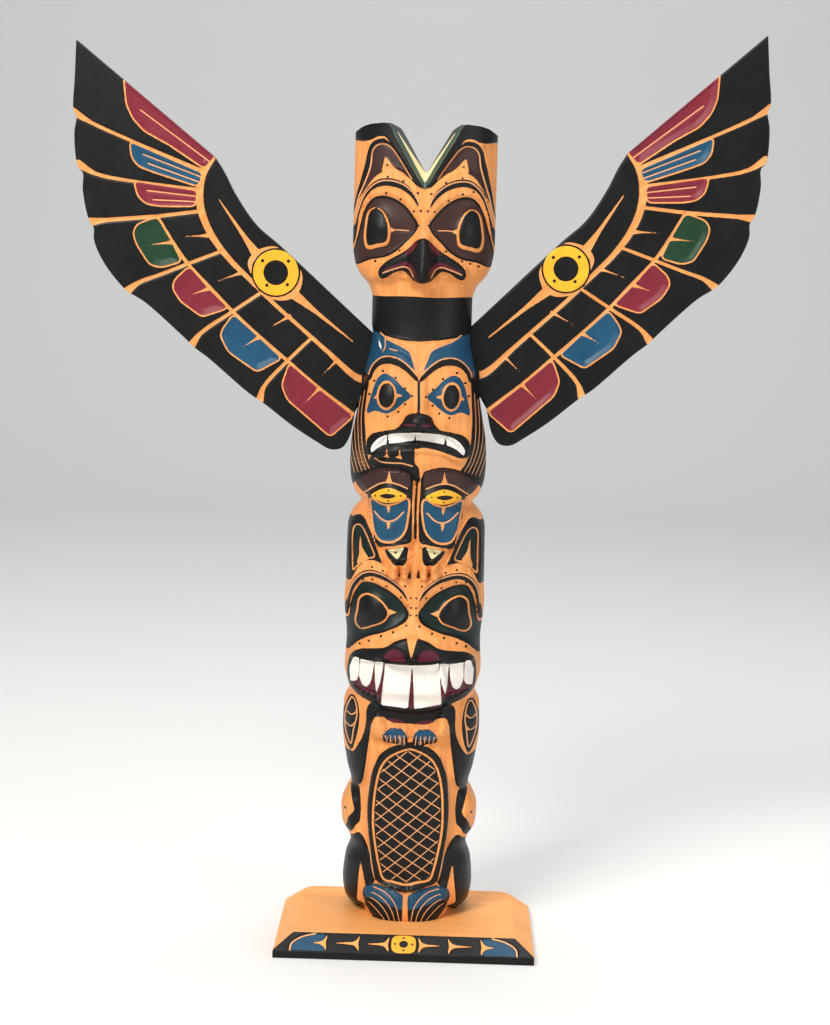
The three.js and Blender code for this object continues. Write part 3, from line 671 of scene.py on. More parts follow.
def paint_bird_head(coat):
    """Cap, ear panels, brows, sockets and eyes, beak and neck of the thunderbird."""
    coat.panel("black", [(-5, 428.6), (90, 428.6), (90, 404.8), (33, 404.8), (24, 402.8), (12, 400.6),
        (0, 399.5), (-5, 399.5)])
    coat.panel("black", [(-5, 497.6), (3, 498.4), (6.3, 500.5), (10.4, 506.8), (15.6, 515.5), (21.8, 526.1),
        (25.9, 530.9), (31, 531.1), (35, 528.8), (41.1, 528.3), (48, 530), (90, 530), (90, 560), (-5, 560)],
        lift=0.5)
    ear_edge = [(47.5, 478), (45, 491.6), (42.1, 503.5), (39.2, 515.2), (36.4, 525), (33.4, 528.2),
        (26.9, 529.5), (22.3, 526.1), (16.1, 516.9), (11.5, 510.2), (7.3, 502.9)]
    ear_line = [(45.5, 482), (42.3, 493.6), (39.4, 501.5), (35.6, 513.3), (34.3, 522.1), (31.3, 525.5),
        (26.8, 526.2), (22.3, 524.1), (17.7, 518.4), (12.5, 510.6), (8.6, 504.2)]
    brow_top = [(5.3, 500.1), (10.4, 504.8), (15.4, 508.6), (22.4, 510), (31.3, 506.4), (35.8, 501.5),
        (40.2, 494.5), (44.6, 486.6)]
    coat.shape("black", ear_edge + brow_top)
    coat.shape("brown_and_shade", ear_line[1:] + [(x, z + 0.8) for x, z in brow_top[1:-1]], lift=-0.8)
    coat.score(ear_line)
    coat.panel(None, [(26.1, 518.8), (27.4, 512.5), (28.6, 508.9), (22.4, 509.4), (16, 508.4),
        (20.5, 511.8)], lift=0.6)
    brow = [(49.5, 461), (45.6, 476), (41.9, 488.5), (37.6, 497.6), (30.4, 503.7), (22.1, 504.3),
        (13.6, 501.4), (7.3, 496), (4, 490.2), (3.2, 484)]
    coat.shape("black", brow + [(4.9, 487.3), (8.5, 492.2), (14.1, 496.6), (20.1, 498.9), (27.1, 499.6),
        (33.6, 497.1), (38.5, 490.6), (42, 481.2), (46.4, 462)], lift=0.7)
    coat.score([(x - 0.2, z - 1.4) for x, z in brow[1:]], half=0.45)
    socket = [(3.4, 474.5), (7.2, 481.1), (12.9, 487.5), (20.2, 492), (28.2, 493.5), (34.2, 490.8),
        (39, 483), (42, 473), (45, 462), (47, 452), (44, 448.8), (34.7, 451.9), (25.2, 453.4), (18.2, 457),
        (11.3, 463.7), (5.4, 469.7)]
    coat.shape("black", socket, lift=-0.9)
    coat.shape("brown_and_shade", socket, grow=-1.5)
    eye = [(31.1, 484.8), (34.9, 482.6), (36.9, 474), (37.5, 465), (35.9, 461), (30, 462), (24.4, 463.6),
        (23, 468), (23.2, 474), (25, 479.4), (27.8, 483.2)]
    coat.shape(None, [(x, z - 0.8) for x, z in eye], grow=1.6, lift=1.2)
    coat.shape("black", eye, lift=0.5)
    coat.panel(None, [(22.4, 473.6), (18.6, 472), (18.6, 471), (22.4, 469.2)], soft=0.5)
    coat.score([(21, 471.5), (15, 471.7), (9.6, 471.4)], half=0.34)
    coat.shape("black", [(-4, 466.6), (3.8, 465.1), (7.6, 461.6), (12.8, 457.4), (19.2, 453.7), (24.7, 450),
        (28, 446.2), (28.3, 442.4), (26.4, 439.8), (23, 440.6), (18, 443.9), (12.5, 445.1), (8.4, 441.9),
        (5, 438.9), (-4, 438.3)], lift=0.6)
    coat.shape("red", [(12, 455.4), (7.4, 457.3), (3.4, 464.2), (8, 461.2)], lift=-0.9)
    coat.shape("red", [(25.6, 444.9), (18.7, 448.5), (11, 451.2), (6.6, 449), (4.4, 443.6), (5.8, 441.6),
        (8.4, 445.8), (12.2, 447.4), (18.6, 445.4)], lift=-1.0)
    coat.score([(25.3, 443.6), (18.6, 446), (12.2, 447.9), (8.2, 446.3), (5.9, 442)], half=0.38)
    coat.dot([(24.2, 505.3), (14, 502.4), (4.4, 495), (25, 495.1), (15.6, 491), (6.7, 483.4), (2.3, 483.6),
        (3.4, 474.4), (15.2, 458.2), (31, 451), (24.5, 512.8)])
    coat.dot([(31.9, 496.8), (25.7, 452.4), (36.5, 449.5)], side=1)


def paint_bear(coat):
    """Brow panels, eyes, mouth with teeth, the fish tail held in it, and the dark flanks."""
    coat.panel("blue", [(33.5, 405.4), (27, 403.8), (20.2, 399.4), (12.4, 396.4), (6.9, 393.3),
        (4.2, 385.6), (1.4, 379.4), (7.8, 385.6), (15.4, 389), (22, 389.6), (28, 386.4), (33, 379.6),
        (37, 374), (44, 380), (44, 400)], lift=-0.6)
    coat.score([(26.5, 404.2), (20.2, 400), (12.4, 396.9), (6.4, 393.7), (3.6, 385.9), (1.2, 379.6)],
        half=0.4)
    coat.panel("white", [(28, 402), (25.6, 396), (25, 391.8), (27, 396)], side=-1, soft=0.6)
    for barb in ([(23.4, 400.4), (22.8, 396), (24, 392.4)], [(19.8, 394.4), (15.4, 393.6)]):
        coat.score(barb, side=-1, half=0.34)
    face_side = [(33, 376.5), (34.3, 365.2), (35.3, 350), (34.6, 339.4), (34.1, 328.7), (31.6, 320.3),
        (28.1, 316.3)]
    coat.panel("black", face_side + [(33, 312), (41, 306), (44, 300), (90, 300), (90, 378), (36, 378)],
        lift=-0.4)
    coat.shape("black", [(34, 374), (32.6, 379.4), (29.8, 383.8), (25.3, 387.7), (20.9, 389), (14.3, 388.1),
        (8.3, 384.6), (0.6, 376.6), (1, 374.4), (8.2, 380.1), (14.2, 383.6), (20.8, 384.6), (26.3, 382.9),
        (30.1, 379), (32.2, 374)], lift=0.8)
    coat.score([(33.4, 379.4), (30.4, 384.2), (25.4, 388.3), (20.9, 389.6), (14.1, 388.7), (8.1, 385.2),
        (1, 378)], half=0.4)
    for step in range(5):
        out, drop = 2.5 * step, 4.0 * step
        coat.score([(36.2 + out, 366 - drop), (37.5 + out, 352 - drop / 2), (37.5 + out, 340),
            (36.6 + out, 330), (34.6 + out, 322), (31.4 + out, 316 - step)], half=0.24, depth=0.5)
    coat.panel("black", [(-1, 375), (0.9, 375), (1, 354.5), (-1, 354.5)], lift=-0.8)
    coat.shape("blue", [(5.4, 364.6), (11.3, 370.5), (16.7, 375.7), (22.6, 378.3), (27.2, 375.6),
        (30.2, 369.1), (32.3, 361), (33.5, 352), (28.1, 354.2), (20.7, 352.9), (15.6, 355.3),
        (10.2, 359.7)], lift=-0.7)
    coat.oval(None, (21.3, 364.6), (6.5, 9.3), lift=1.0)
    coat.oval("black", (21.3, 364.6), (5.2, 7.8), lift=0.5)
    coat.panel(None, [(15.5, 366.2), (10, 364.6), (15.5, 363)])
    coat.panel(None, [(27.2, 365.6), (30.6, 361.8), (27, 362.4)])
    coat.dot([(24, 379.9), (29.8, 373.4), (32.7, 364.7), (20, 351.2), (13.3, 354), (9, 359), (4.6, 364.8),
        (9.1, 369.4), (15.4, 376)])
    mouth = [(-4, 353.9), (4.7, 353.6), (8, 352), (10.7, 347.1), (14.1, 343.9), (21.7, 341.9),
        (29.3, 339.3), (33, 335.6), (34, 330), (32.8, 325.4), (28.6, 324.9), (20.7, 327.6), (12.1, 330.1),
        (4, 331.4), (-4, 330.4)]
    coat.shape("black", mouth, lift=0.4)
    coat.oval("red", (5.2, 346.6), (4.2, 0.8), lift=-0.6)
    coat.shape("white", [(-4, 341.7), (1.1, 341.7), (11.9, 341), (20, 339.4), (26.4, 335.8), (30.8, 329.6),
        (30.2, 326.8), (27.6, 329), (25, 330.9), (19.4, 333.4), (10.7, 334.9), (1, 336), (-4, 336)],
        lift=0.5)
    for gap in (-19.4, -1.6, 18.0):
        coat.panel("black", [(gap - 1.1, 332.8), (gap + 1.1, 332.8), (gap, 341.2)], side=1, lift=-0.8)
    coat.shape("black", [(27.6, 327), (31.6, 322.5), (29.5, 318), (24.3, 316.1), (15.6, 316.3),
        (9.1, 315.4), (3.4, 311.6), (-0.9, 308.4), (-1, 318), (1.6, 322), (2.2, 331), (12, 332), (22, 329)],
        side=-1, lift=0.7)
    coat.score([(27.6, 323), (24.4, 321), (17.8, 320.7), (10.3, 321.1), (3.4, 319.6)], side=-1, half=0.45)
    for fin in (19.4, 11.0):
        coat.panel(None, [(fin, 331.0), (fin + 1.0, 329.6), (fin + 0.9, 326), (fin + 3.8, 324.9),
            (fin + 0.6, 324.1), (fin - 1.8, 323.6), (fin - 0.1, 326)], side=-1, soft=0.8, lift=-0.4)


def paint_bird_legs(coat):
    """Brown caps, yellow lens eyes, blue panels and clawed feet, with painted shade between the claws."""
    cap = [(39.6, 306.3), (34.2, 311.7), (26.4, 316.2), (17.3, 317.6), (9.6, 316.4), (4.8, 314.4),
        (5.6, 304.6), (11.8, 306.6), (17.8, 307.6), (23.7, 306.3), (28, 302.1), (32, 299.8)]
    coat.panel("black", [(32, 301), (31.4, 292.5), (30.1, 284), (27.9, 274.5), (25.5, 267), (22.8, 264.8),
        (13, 267.6), (3.4, 268.3), (2.2, 272), (2.1, 287.5), (2.6, 313), (6, 314.5)], lift=0.3)
    coat.panel("black", [(-0.7, 312), (0.7, 312), (0.8, 271), (-0.8, 271)], soft=0.3, lift=-0.6)
    coat.shape("black", cap, grow=0.9)
    coat.shape("brown_and_shade", cap)
    coat.panel(None, [(18.1, 316.8), (19, 311), (20.8, 307.4), (15.2, 307.4), (17.2, 311)], lift=0.4)
    coat.score([(33.8, 300.4), (29.6, 303.6), (24, 306.8), (17.8, 308), (11.8, 307), (6.2, 304.9)],
        half=0.45)
    lens = [(29.6, 298.9), (24, 302.9), (17.7, 304.5), (11.6, 303), (5.9, 299.7), (11.8, 295.9),
        (17.7, 294.7), (23.6, 295.6)]
    coat.shape("black", lens, grow=1.2, lift=0.9)
    coat.shape("yellow", lens)
    coat.shape("black", [(24.2, 299.2), (18.4, 300.9), (12.8, 299.6), (18.2, 297.6)])
    coat.dot([(26.5, 299), (9.9, 299.8), (17.9, 303), (17.8, 296.1)], radius=0.85)
    panel = [(29.4, 296), (28.6, 287), (26.9, 277), (22.9, 270.8), (14.3, 270.6), (8.2, 275.3), (5.8, 283),
        (5.5, 297.4), (11.8, 294.1), (17.7, 292.5), (23.2, 293.3)]
    coat.shape(None, panel, grow=1.3)
    coat.shape("blue", panel, lift=-0.7)
    coat.score([(27.2, 288.4), (22.4, 284), (17.9, 282.6), (13, 284), (7.8, 288.8)], half=0.5)
    for top, foot in ((292.8, 286.5), (283, 275.5)):
        coat.panel(None, [(16.4, top), (19.4, top), (17.8, foot)])
    foot = [(20.2, 264.4), (17, 258.6), (12.2, 254.7), (7.2, 254.6), (4.9, 257.2), (4.4, 266.9),
        (12, 266.8)]
    coat.panel("black", foot, lift=-0.5)
    coat.panel("cream_and_highlight", [(18.6, 264.9), (6.6, 267.2), (10.9, 257.8)], lift=0.5)
    coat.panel(None, [(-0.2, 268.5), (21.5, 264), (21.5, 266.2), (-0.2, 269.6)])
    coat.dot([(12.6, 262.8)])
    # Painted shade: small sunk wedges of brown darken the gaps between the claws, where shade falls
    for x, z in ((3.0, 249.4), (9.7, 248.2), (16.8, 248.4)):
        coat.panel("brown_and_shade", [(x - 1.5, z - 4), (x, z + 2.6), (x + 1.5, z - 4)], lift=-1.6)


def paint_beaver_head(coat):
    """Ears, brows, green sockets, nose, and the rows of teeth with the two long cutting ones."""
    coat.panel("black", [(90, 240), (41.5, 240), (37.5, 249), (31.5, 254.4), (24.6, 255), (20, 253.6),
        (24.5, 263.1), (27.7, 270.9), (31.6, 279.8), (35, 284.6), (39.3, 284.6), (42.4, 281.8), (90, 283)],
        soft=4.0, lift=0.3)
    ear = [(41.6, 246), (42, 273), (40.8, 277.6), (37.4, 279), (34.4, 277.2), (31.3, 271.9), (28, 264.7),
        (24.6, 257.8), (31, 256.4), (36.4, 252.4)]
    coat.panel(None, ear, soft=4.0)
    coat.panel("green", ear, grow=-0.9, soft=4.0, lift=-0.9)
    coat.panel(None, [(36.4, 272.5), (34.6, 263), (29.6, 256.6), (35, 253.6), (38.6, 252.6), (36.6, 258)],
        lift=0.5)
    coat.panel(None, [(44.6, 228.3), (43, 239.5), (38, 249.6), (32.5, 255), (27.4, 256), (21.2, 254.9),
        (15.1, 251.5), (8.9, 245.9), (6, 237), (14, 242), (29, 248), (40, 240), (43, 228)])
    brow = [(46, 216), (44.6, 228.3), (41.4, 240.2), (35.6, 247.3), (29.3, 249.6), (21.1, 248.2),
        (12.6, 243.6), (6, 237.8), (2.4, 228.2)]
    coat.shape("black", brow + [(4.5, 230.9), (9.1, 236.6), (14.8, 241), (22, 243.9), (28.1, 245.2),
        (33.8, 243.4), (38.4, 238.6), (41.3, 230.2), (44, 216)], lift=0.7)
    coat.score([(x - 0.2, z - 1.3) for x, z in brow[1:]], half=0.45)
    socket = [(3, 221.8), (7, 228), (12.4, 233.4), (20, 238), (28.5, 241), (34.2, 240.6), (38.3, 235.2),
        (41.6, 225.2), (44, 214), (60, 214), (60, 190), (43.8, 192.8), (36.8, 200), (27.5, 206),
        (18, 209.6), (9.4, 213.4), (4.4, 217)]
    coat.shape("black", socket, lift=-0.9)
    coat.shape("green", socket, grow=-1.5)
    eye = [(31, 232.6), (35, 230), (36.4, 221.7), (37.6, 212.6), (34.8, 210), (26.1, 213.5), (18.6, 217.4),
        (17, 221.6), (21.2, 227.9), (26.6, 231.6)]
    coat.shape(None, eye, grow=1.15, lift=1.0)
    coat.shape("black", eye, lift=0.5)
    coat.panel(None, [(17, 224.4), (13, 222.5), (9.8, 221.9), (13, 221.2), (16.4, 219.6)], lift=0.5)
    coat.shape("black", [(-4, 207.8), (4.7, 206.9), (10.7, 205), (15.6, 202), (20.6, 199.8), (27.7, 198),
        (36.1, 195.6), (40.6, 192), (42.8, 184), (42.4, 172), (38, 166.5), (28.4, 162), (20, 158.5),
        (-4, 158)], lift=0.4)
    coat.panel("red", [(-4, 189), (20, 190), (37, 189.6), (40, 184), (40.4, 174), (37, 170.8), (30, 168.2),
        (20, 165.8), (20, 160.6), (-4, 160.4)], lift=-1.2)
    coat.panel("red", [(18.8, 193.2), (17.8, 196.4), (14.8, 199.6), (10.8, 200.9), (6.8, 199.4),
        (4.4, 196.4), (3.4, 193.2)], lift=-0.9)
    coat.panel(None, [(-3, 208.4), (3.5, 207.8), (1.1, 198), (0.1, 193.4), (-1, 198)])
    coat.panel("white", [(0.3, 191), (17.4, 191.2), (19.2, 161), (1.4, 160)], side=-1, soft=0.7, lift=0.8)
    coat.panel("white", [(0.3, 191), (18, 191.8), (20, 162.4), (2.6, 160)], side=1, soft=0.7, lift=0.8)
    coat.panel("white", [(18.4, 190.9), (24.6, 190.4), (23.8, 177.2), (22.4, 169.4), (20.2, 178)], soft=0.7,
        lift=1.0)
    coat.panel("white", [(25, 190.5), (34.2, 190.9), (34.4, 178.6), (32.1, 173.2), (29.4, 172), (27, 174.4),
        (25.8, 179.2)], soft=1.0, lift=1.0)
    coat.panel("white", [(34.9, 191.5), (38.6, 191.3), (41.2, 184), (40.6, 173.8), (36.3, 175), (35, 178)],
        soft=1.0, lift=1.0)
    coat.score([(40.4, 195.8), (43.4, 190), (44.2, 182), (43.4, 175)], half=0.5)
    coat.dot([(27.6, 251.5), (20.4, 249.6), (5.6, 240.6), (1.8, 232.7), (33.9, 242.8), (27.6, 243),
        (18.4, 238.9), (8.5, 232.6), (1.6, 226), (1.9, 221), (4.2, 214.4), (12.6, 210), (20.6, 207),
        (28.9, 202.6), (35.1, 199.4)])


tail_ring = [(-4, 130.7), (9.8, 128.4), (17.4, 121.4), (22.6, 105.5), (23.7, 86.7), (22.4, 66.3),
    (18.8, 48.7), (15.6, 41), (8.3, 39.3), (-4, 39.1)]
scales_inset = 2.2


def paint_beaver_body(coat):
    """Shoulders, arms and paws, the scaled tail, knees, haunches and feet."""
    coat.panel("black", [(-4, 160), (20, 160), (25, 162.4), (29.9, 157), (29.6, 148), (31, 137),
        (36.3, 126.6), (38.6, 124), (46, 126), (90, 128), (90, 103), (36.4, 101.9), (31.6, 103),
        (28.6, 119.7), (27, 134.5), (26.3, 145.1), (24, 153), (17, 151.6), (16, 149.4), (11.3, 147.5),
        (-4, 147.5)], soft=5.0, lift=0.3)
    coat.panel("red", [(3.6, 148.6), (9, 150.2), (16.6, 150.6), (12, 147.6), (4, 147.4)])
    coat.shape(None, [(21.6, 152.1), (25.8, 147.2), (25.4, 140), (21.2, 136.4), (17.3, 139.5),
        (16.8, 147.4)], lift=0.5)
    paw = [(18.6, 138), (17.4, 142.3), (13.8, 144.8), (6.2, 145.2), (2.6, 141.7), (1.4, 135.6),
        (9.8, 134.4), (17, 134.6)]
    coat.panel("black", paw)
    coat.panel("blue", [(x, max(z, 137.6)) for x, z in paw], grow=-0.3)
    coat.score([(18.8, 139.5), (17.6, 142.9), (13.8, 145.5), (6.2, 145.9), (2, 142)], half=0.45)
    for finger in (3.4, 6.4, 9.4, 12.4, 15.4):
        coat.score([(finger + 0.1, 135.0), (finger + 0.4, 137.4), (finger + 0.7, 139.8)], half=0.3,
            depth=0.3)
    oval = [(41.1, 162.2), (44.4, 155), (46.5, 145.5), (44.6, 134.5), (39.4, 125.4), (35.3, 136.9),
        (34.3, 150.2), (35.6, 158.8), (38.1, 163)]
    coat.shape("black", oval, lift=0.5)
    coat.score([(40.4, 161), (43, 155.2), (44.4, 146.3), (43, 136.2), (39.6, 129.4), (37.6, 141.4),
        (36.1, 149.9), (36.8, 157.6), (38.6, 161.2), (40.4, 161)], half=0.42)
    coat.score([(37, 152), (39.6, 149.6), (43, 150.4)], half=0.42)
    coat.score([(37.6, 143.6), (40, 141.4), (43.2, 142.4)], half=0.42)
    tail = [(-4, 134.6), (11.9, 132.4), (20.3, 124.8), (25.2, 111), (27, 94), (26.2, 74), (23.9, 55.5),
        (20.6, 40.3), (12.7, 36.8), (-4, 34)]
    coat.shape("black", tail, lift=0.5)
    coat.shape(None, tail_ring, lift=-0.4)
    coat.shape("black", tail_ring, grow=-1.45, lift=-0.6)
    coat.score([(x + 0.5, z) for x, z in tail[2:8]], half=0.42)
    coat.panel("black", [(40, 101), (38.4, 95), (37.2, 90), (35.6, 85.4), (38.2, 81.8), (40.6, 79),
        (41.6, 73.4), (44, 69.6), (41, 67.4), (37.7, 69.2), (35.2, 74.6), (32, 77), (31.3, 86), (32.2, 96),
        (33.6, 102.6)], soft=2.5, lift=0.4)
    coat.dot([(42.4, 85)])
    coat.panel("black", [(37.6, 67), (33, 71), (29.4, 68), (27, 62), (23.8, 53.7), (19.8, 39.1), (25.2, 33),
        (25.4, 23), (33, 12), (90, 12), (90, 64), (41, 64)], soft=4.0, lift=0.3)
    coat.panel(None, [(30.9, 51.5), (33.4, 23), (25.2, 20), (27.6, 37.7)], lift=-0.5)
    foot = [(28, 34.4), (21, 37), (10, 35.8), (1.4, 31.3), (2.2, 12.5), (13, 12.5), (22, 14), (27, 21),
        (29.4, 29)]
    coat.panel("blue", foot)
    foot_depth = within(foot, coat.across(0), coat.z)
    coat.paint("black", np.minimum(foot_depth, 21.5 - coat.z + 0.25 * coat.across(0)))
    for toe_line in ([(21.5, 34.6), (13, 31.8), (6.6, 25), (3.7, 12.8)], [(22.6, 31.3), (15, 28),
            (9.4, 21.4), (6.9, 12.8)], [(23.6, 27.8), (17.4, 24.4), (12.6, 18.8), (10.2, 12.8)],
            [(25, 24.6), (19.6, 20.4), (15.6, 16), (13.6, 12.8)]):
        coat.score(toe_line, half=0.32, depth=0.6)


ear_across = [26.9, 35.9, 40.9, 44.9, 51.9]
ear_height = [526.0, 525.2, 523.8, 521.4, 517.0]
notch_deep, notch_half = 38.6, 22.3
notch_climb, notch_run = 8.0, 64.5
notch_chamfer = 5.0


def ear_top(x):
    """Height of the ear tips, rounded down towards the sides."""
    return np.interp(np.abs(x), ear_across, ear_height)


def notch_top(x, y, front):
    """Height of the crest above the board: the lower of the ear tips and the notch, eased into each
    other. The notch rises to the back, with a chamfer behind its front edge."""
    floor = pole_reach - notch_deep + notch_deep / notch_half * np.abs(x)
    notch = np.minimum(floor + notch_climb / notch_run * (y - pole_plane + full_depth),
                       floor - notch_chamfer + (y - front))
    return -np.logaddexp(-ear_top(x), -notch)


def front_at(x, row_x, row_y):
    """Where the front face stands at each x, by the front columns of one row."""
    first = side_steps.size + back_share.size
    return np.interp(x, row_x[first:-first], row_y[first:-first])


def even_shares(count):
    """Even steps along the superellipse's front, as shares across and forward."""
    angle = (np.linspace(0, 1, 2001) - 0.5) * math.pi
    across = np.sign(angle) * np.abs(np.sin(angle)) ** (2 / superellipse)
    forward = np.abs(np.cos(angle)) ** (2 / superellipse)
    along = np.concatenate([[0], np.cumsum(np.hypot(np.diff(across), np.diff(forward)))])
    even = np.interp(np.linspace(0, along[-1], count), along, np.arange(2001))
    return np.interp(even, np.arange(2001), across), np.interp(even, np.arange(2001), forward)


across_share, forward_share = even_shares(pole_columns)
kept = forward_share > side_share
across_share, forward_share = across_share[kept], forward_share[kept]
side_steps = np.array([6.4, 5.3, 2.6, 0.0, -2.6, -5.3, -6.4, -9.0])
back_across, back_share = np.array([[0.985, 0.4], [0.96, 0.58], [0.93, 0.74], [0.885, 0.86], [0.83, 0.95],
                                    [0.77, 0.985], [0.7, 1.0]]).T
heights = np.arange(0, crest_rows_from, row_pitch)
climb = np.concatenate([np.zeros(heights.size), np.linspace(0, 1, crest_rows)])[:, None]
heights = np.concatenate([heights, np.full(crest_rows, crest_rows_from)])


def pole_section(level):
    """Across and depth of every column at each level: the front superellipse, side points at fixed
    steps about the widest plane, and the rounded back corners, from the left corner round the front."""
    wide, deep = half_width(level), front_depth(level)
    step = side_steps[None, :] * np.minimum(1.0, deep[:, :1] / full_depth)
    forward = np.clip(step / deep[:, :1], 0, 1)
    side_x = wide[:, :1] * (1 - forward ** superellipse) ** (1 / superellipse)
    side_y = pole_plane - step
    back_x = wide[:, :1] * back_across
    back_y = pole_plane + (pole_high[1] - pole_plane) * back_share + 0 * back_x
    first = side_steps.size + back_share.size
    front = slice(first, first + across_share.size)
    x = np.concatenate([-back_x[:, ::-1], -side_x[:, ::-1], across_share * wide[:, front], side_x, back_x],
                       axis=1)
    y = np.concatenate([back_y[:, ::-1], side_y[:, ::-1],
                        pole_plane - forward_share * deep[:, front], side_y, back_y], axis=1)
    return x, y


columns = across_share.size + 2 * (side_steps.size + back_share.size)
level = np.repeat(heights[:, None], columns, axis=1)
for _ in range(4):
    pole_x, plain_y = pole_section(level)
    front = front_at(pole_x[-1], pole_x[-1], plain_y[-1])
    crest = notch_top(pole_x[-1], plain_y[-1], front)
    level = heights[:, None] + climb * (crest - crest_rows_from)[None, :]
forward = np.clip((pole_plane - plain_y) / front_depth(level), 0, 1)
seen_x = pole_x + np.sign(pole_x) * np.clip(plain_y - pole_plane, 0, None)
waver_x = seen_x + 0.25 * np.sin(level / 7.0 + seen_x / 13.0)
waver_z = level + board_top + 0.25 * np.sin(seen_x / 6.0 + level / 11.0)
pole_coat = Coat(waver_x, waver_z, pole_paints)
for paint_part in (paint_bird_head, paint_bear, paint_bird_legs, paint_beaver_head, paint_beaver_body):
    paint_part(pole_coat)
pole_coat.paint(None, np.clip(plain_y - pole_high[1] + bare_back, -reach, reach))
pole_coat.marks["off_tail"] = scales_inset - within(rounded(tail_ring), np.abs(waver_x), waver_z)
carving = sum(cut(np.abs(pole_x), level) for cut in pole_cuts) * smooth_step(forward * 2.2)
pole_y = plain_y - carving - pole_coat.lift * smooth_step(forward * 3.0)
front = front_at(pole_x[-1], pole_x[-1], pole_y[-1])
level = level + climb * (notch_top(pole_x[-1], pole_y[-1], front) - level[-1])[None, :]
to_mm = (pole_high[2] - pole_low[2]) / pole_reach
pole_z = pole_low[2] + to_mm * level

# Housings in the pole's sides, which take the wings' tongues with a little clearance
shoulder_x, shoulder_z, wing_turn = 33.0, {-1: 380.0, 1: 384.5}, math.radians(1.4)
clearance = 0.3
inner_edge = [(14.6, -46.5), (10.4, -27), (9.4, -23.5), (6.6, -22), (4.2, -8), (0.4, 11), (-1.4, 20),
              (-1.4, 23)]
tongue_end, tongue_low, tongue_high = -9.0, -22.0, 14.0
housing_low, housing_high, housing_half = -30.0, 23.3, 5.3
side_slot = np.abs(side_steps) <= housing_half
no_slot, no_front_slot = 0 * back_share, 0 * across_share
slot_columns = np.concatenate([no_slot, side_slot[::-1], no_front_slot, side_slot, no_slot]) > 0
for side in (-1, 1):
    rise = pole_z - shoulder_z[side]
    let_in = np.interp(rise, [v for _, v in inner_edge], [u for u, _ in inner_edge]) - clearance
    at_tongue = (rise > tongue_low - clearance) & (rise < tongue_high + clearance)
    let_in = np.where(at_tongue, tongue_end - clearance, let_in)
    wall = shoulder_x + let_in - side * rise * math.sin(wing_turn)
    cut_away = slot_columns & (rise > housing_low) & (rise < housing_high) & (pole_x * side > wall)
    pole_x = np.where(cut_away, side * wall, pole_x)
    pole_y = np.where(cut_away, plain_y, pole_y)

# The crest's top, filled from its rim and a grid of points that follows its creases
rim_columns = np.stack([pole_x[-1], pole_y[-1]], axis=1)
flat_points = 60
flat_x = np.linspace(pole_x[-1, 0], pole_x[-1, -1], flat_points + 2)[1:-1]
rim = np.concatenate([rim_columns, np.stack([flat_x[::-1], np.full(flat_points, pole_high[1])], axis=1)])
behind_front = np.concatenate([[1.3, 2.6, 3.9, 5.2, 5.8, 7.0, 8.5, 10.5], np.arange(13.0, 62.0, 2.5)])
grid_x, grid_step = (axis.ravel() for axis in np.meshgrid(np.arange(-46.2, 46.3, 1.2), behind_front))
grid_y = front_at(grid_x, pole_x[-1], pole_y[-1]) + grid_step
within_rim = within(rim, grid_x, grid_y) > 0.6
top_xy = np.concatenate([rim, np.stack([grid_x[within_rim], grid_y[within_rim]], axis=1)])
rim_edges = [(i, (i + 1) % len(rim)) for i in range(len(rim))]
filled = geometry.delaunay_2d_cdt([Vector(point) for point in top_xy.tolist()], rim_edges, [], 1, 1e-5)
rows = level.shape[0]
top_start = (rows - 1) * columns
extra_start = rows * columns
extra_x, extra_y = top_xy[columns:].T
extra_front = front_at(extra_x, pole_x[-1], pole_y[-1])
extra_level = notch_top(extra_x, extra_y, extra_front)
extra_z = pole_low[2] + to_mm * extra_level
pole_points = np.concatenate([np.stack([pole_x, pole_y, pole_z], axis=2).reshape(-1, 3),
                              np.column_stack([extra_x, extra_y, extra_z])])
source = [top_start + given[0] if given[0] < columns else extra_start + given[0] - columns
          for given in filled[3]]
pole_faces = strip_faces(rows, columns, False)
pole_faces += [[source[corner] for corner in face] for face in filled[2]]
left_edge = [row * columns for row in range(rows)]
right_edge = [row * columns + columns - 1 for row in reversed(range(rows))]
flat_edge = list(range(extra_start, extra_start + flat_points))
pole_faces.append(left_edge + flat_edge[::-1] + right_edge)
pole_faces.append(list(range(columns)))


def tail_scales(tree, place, line):
    """Cross-hatching on the tail: two sets of straight scored lines, about seven millimetres apart,
    inside the tail's ring only."""
    on_tail = threshold(tree, field_of(tree, "off_tail"), 0.0)
    for slope, spacing in ((42.0, 7.5), (-34.0, 6.7)):
        leaning = turned(tree, place, slope)
        up = add_node(tree, "ShaderNodeSeparateXYZ", None, Vector=leaning).outputs["Z"]
        wave = worked(tree, "PINGPONG", worked(tree, "MULTIPLY", up, 1000.0 / spacing), 0.5)
        scored = threshold(tree, worked(tree, "MULTIPLY", wave, spacing), 0.33)
        line = worked(tree, "MAXIMUM", line, worked(tree, "MULTIPLY", scored, on_tail))
    return line


pole_wood = painted_cedar("painted cedar", 0, painted_light, painted_dark, pole_paints, pole_line,
                          tail_scales)
pole_piece = make_piece("carved_pole", pole_points, pole_faces, pole_wood)
pole_coat.into(pole_piece.data, np.arange(level.size).reshape(level.shape))
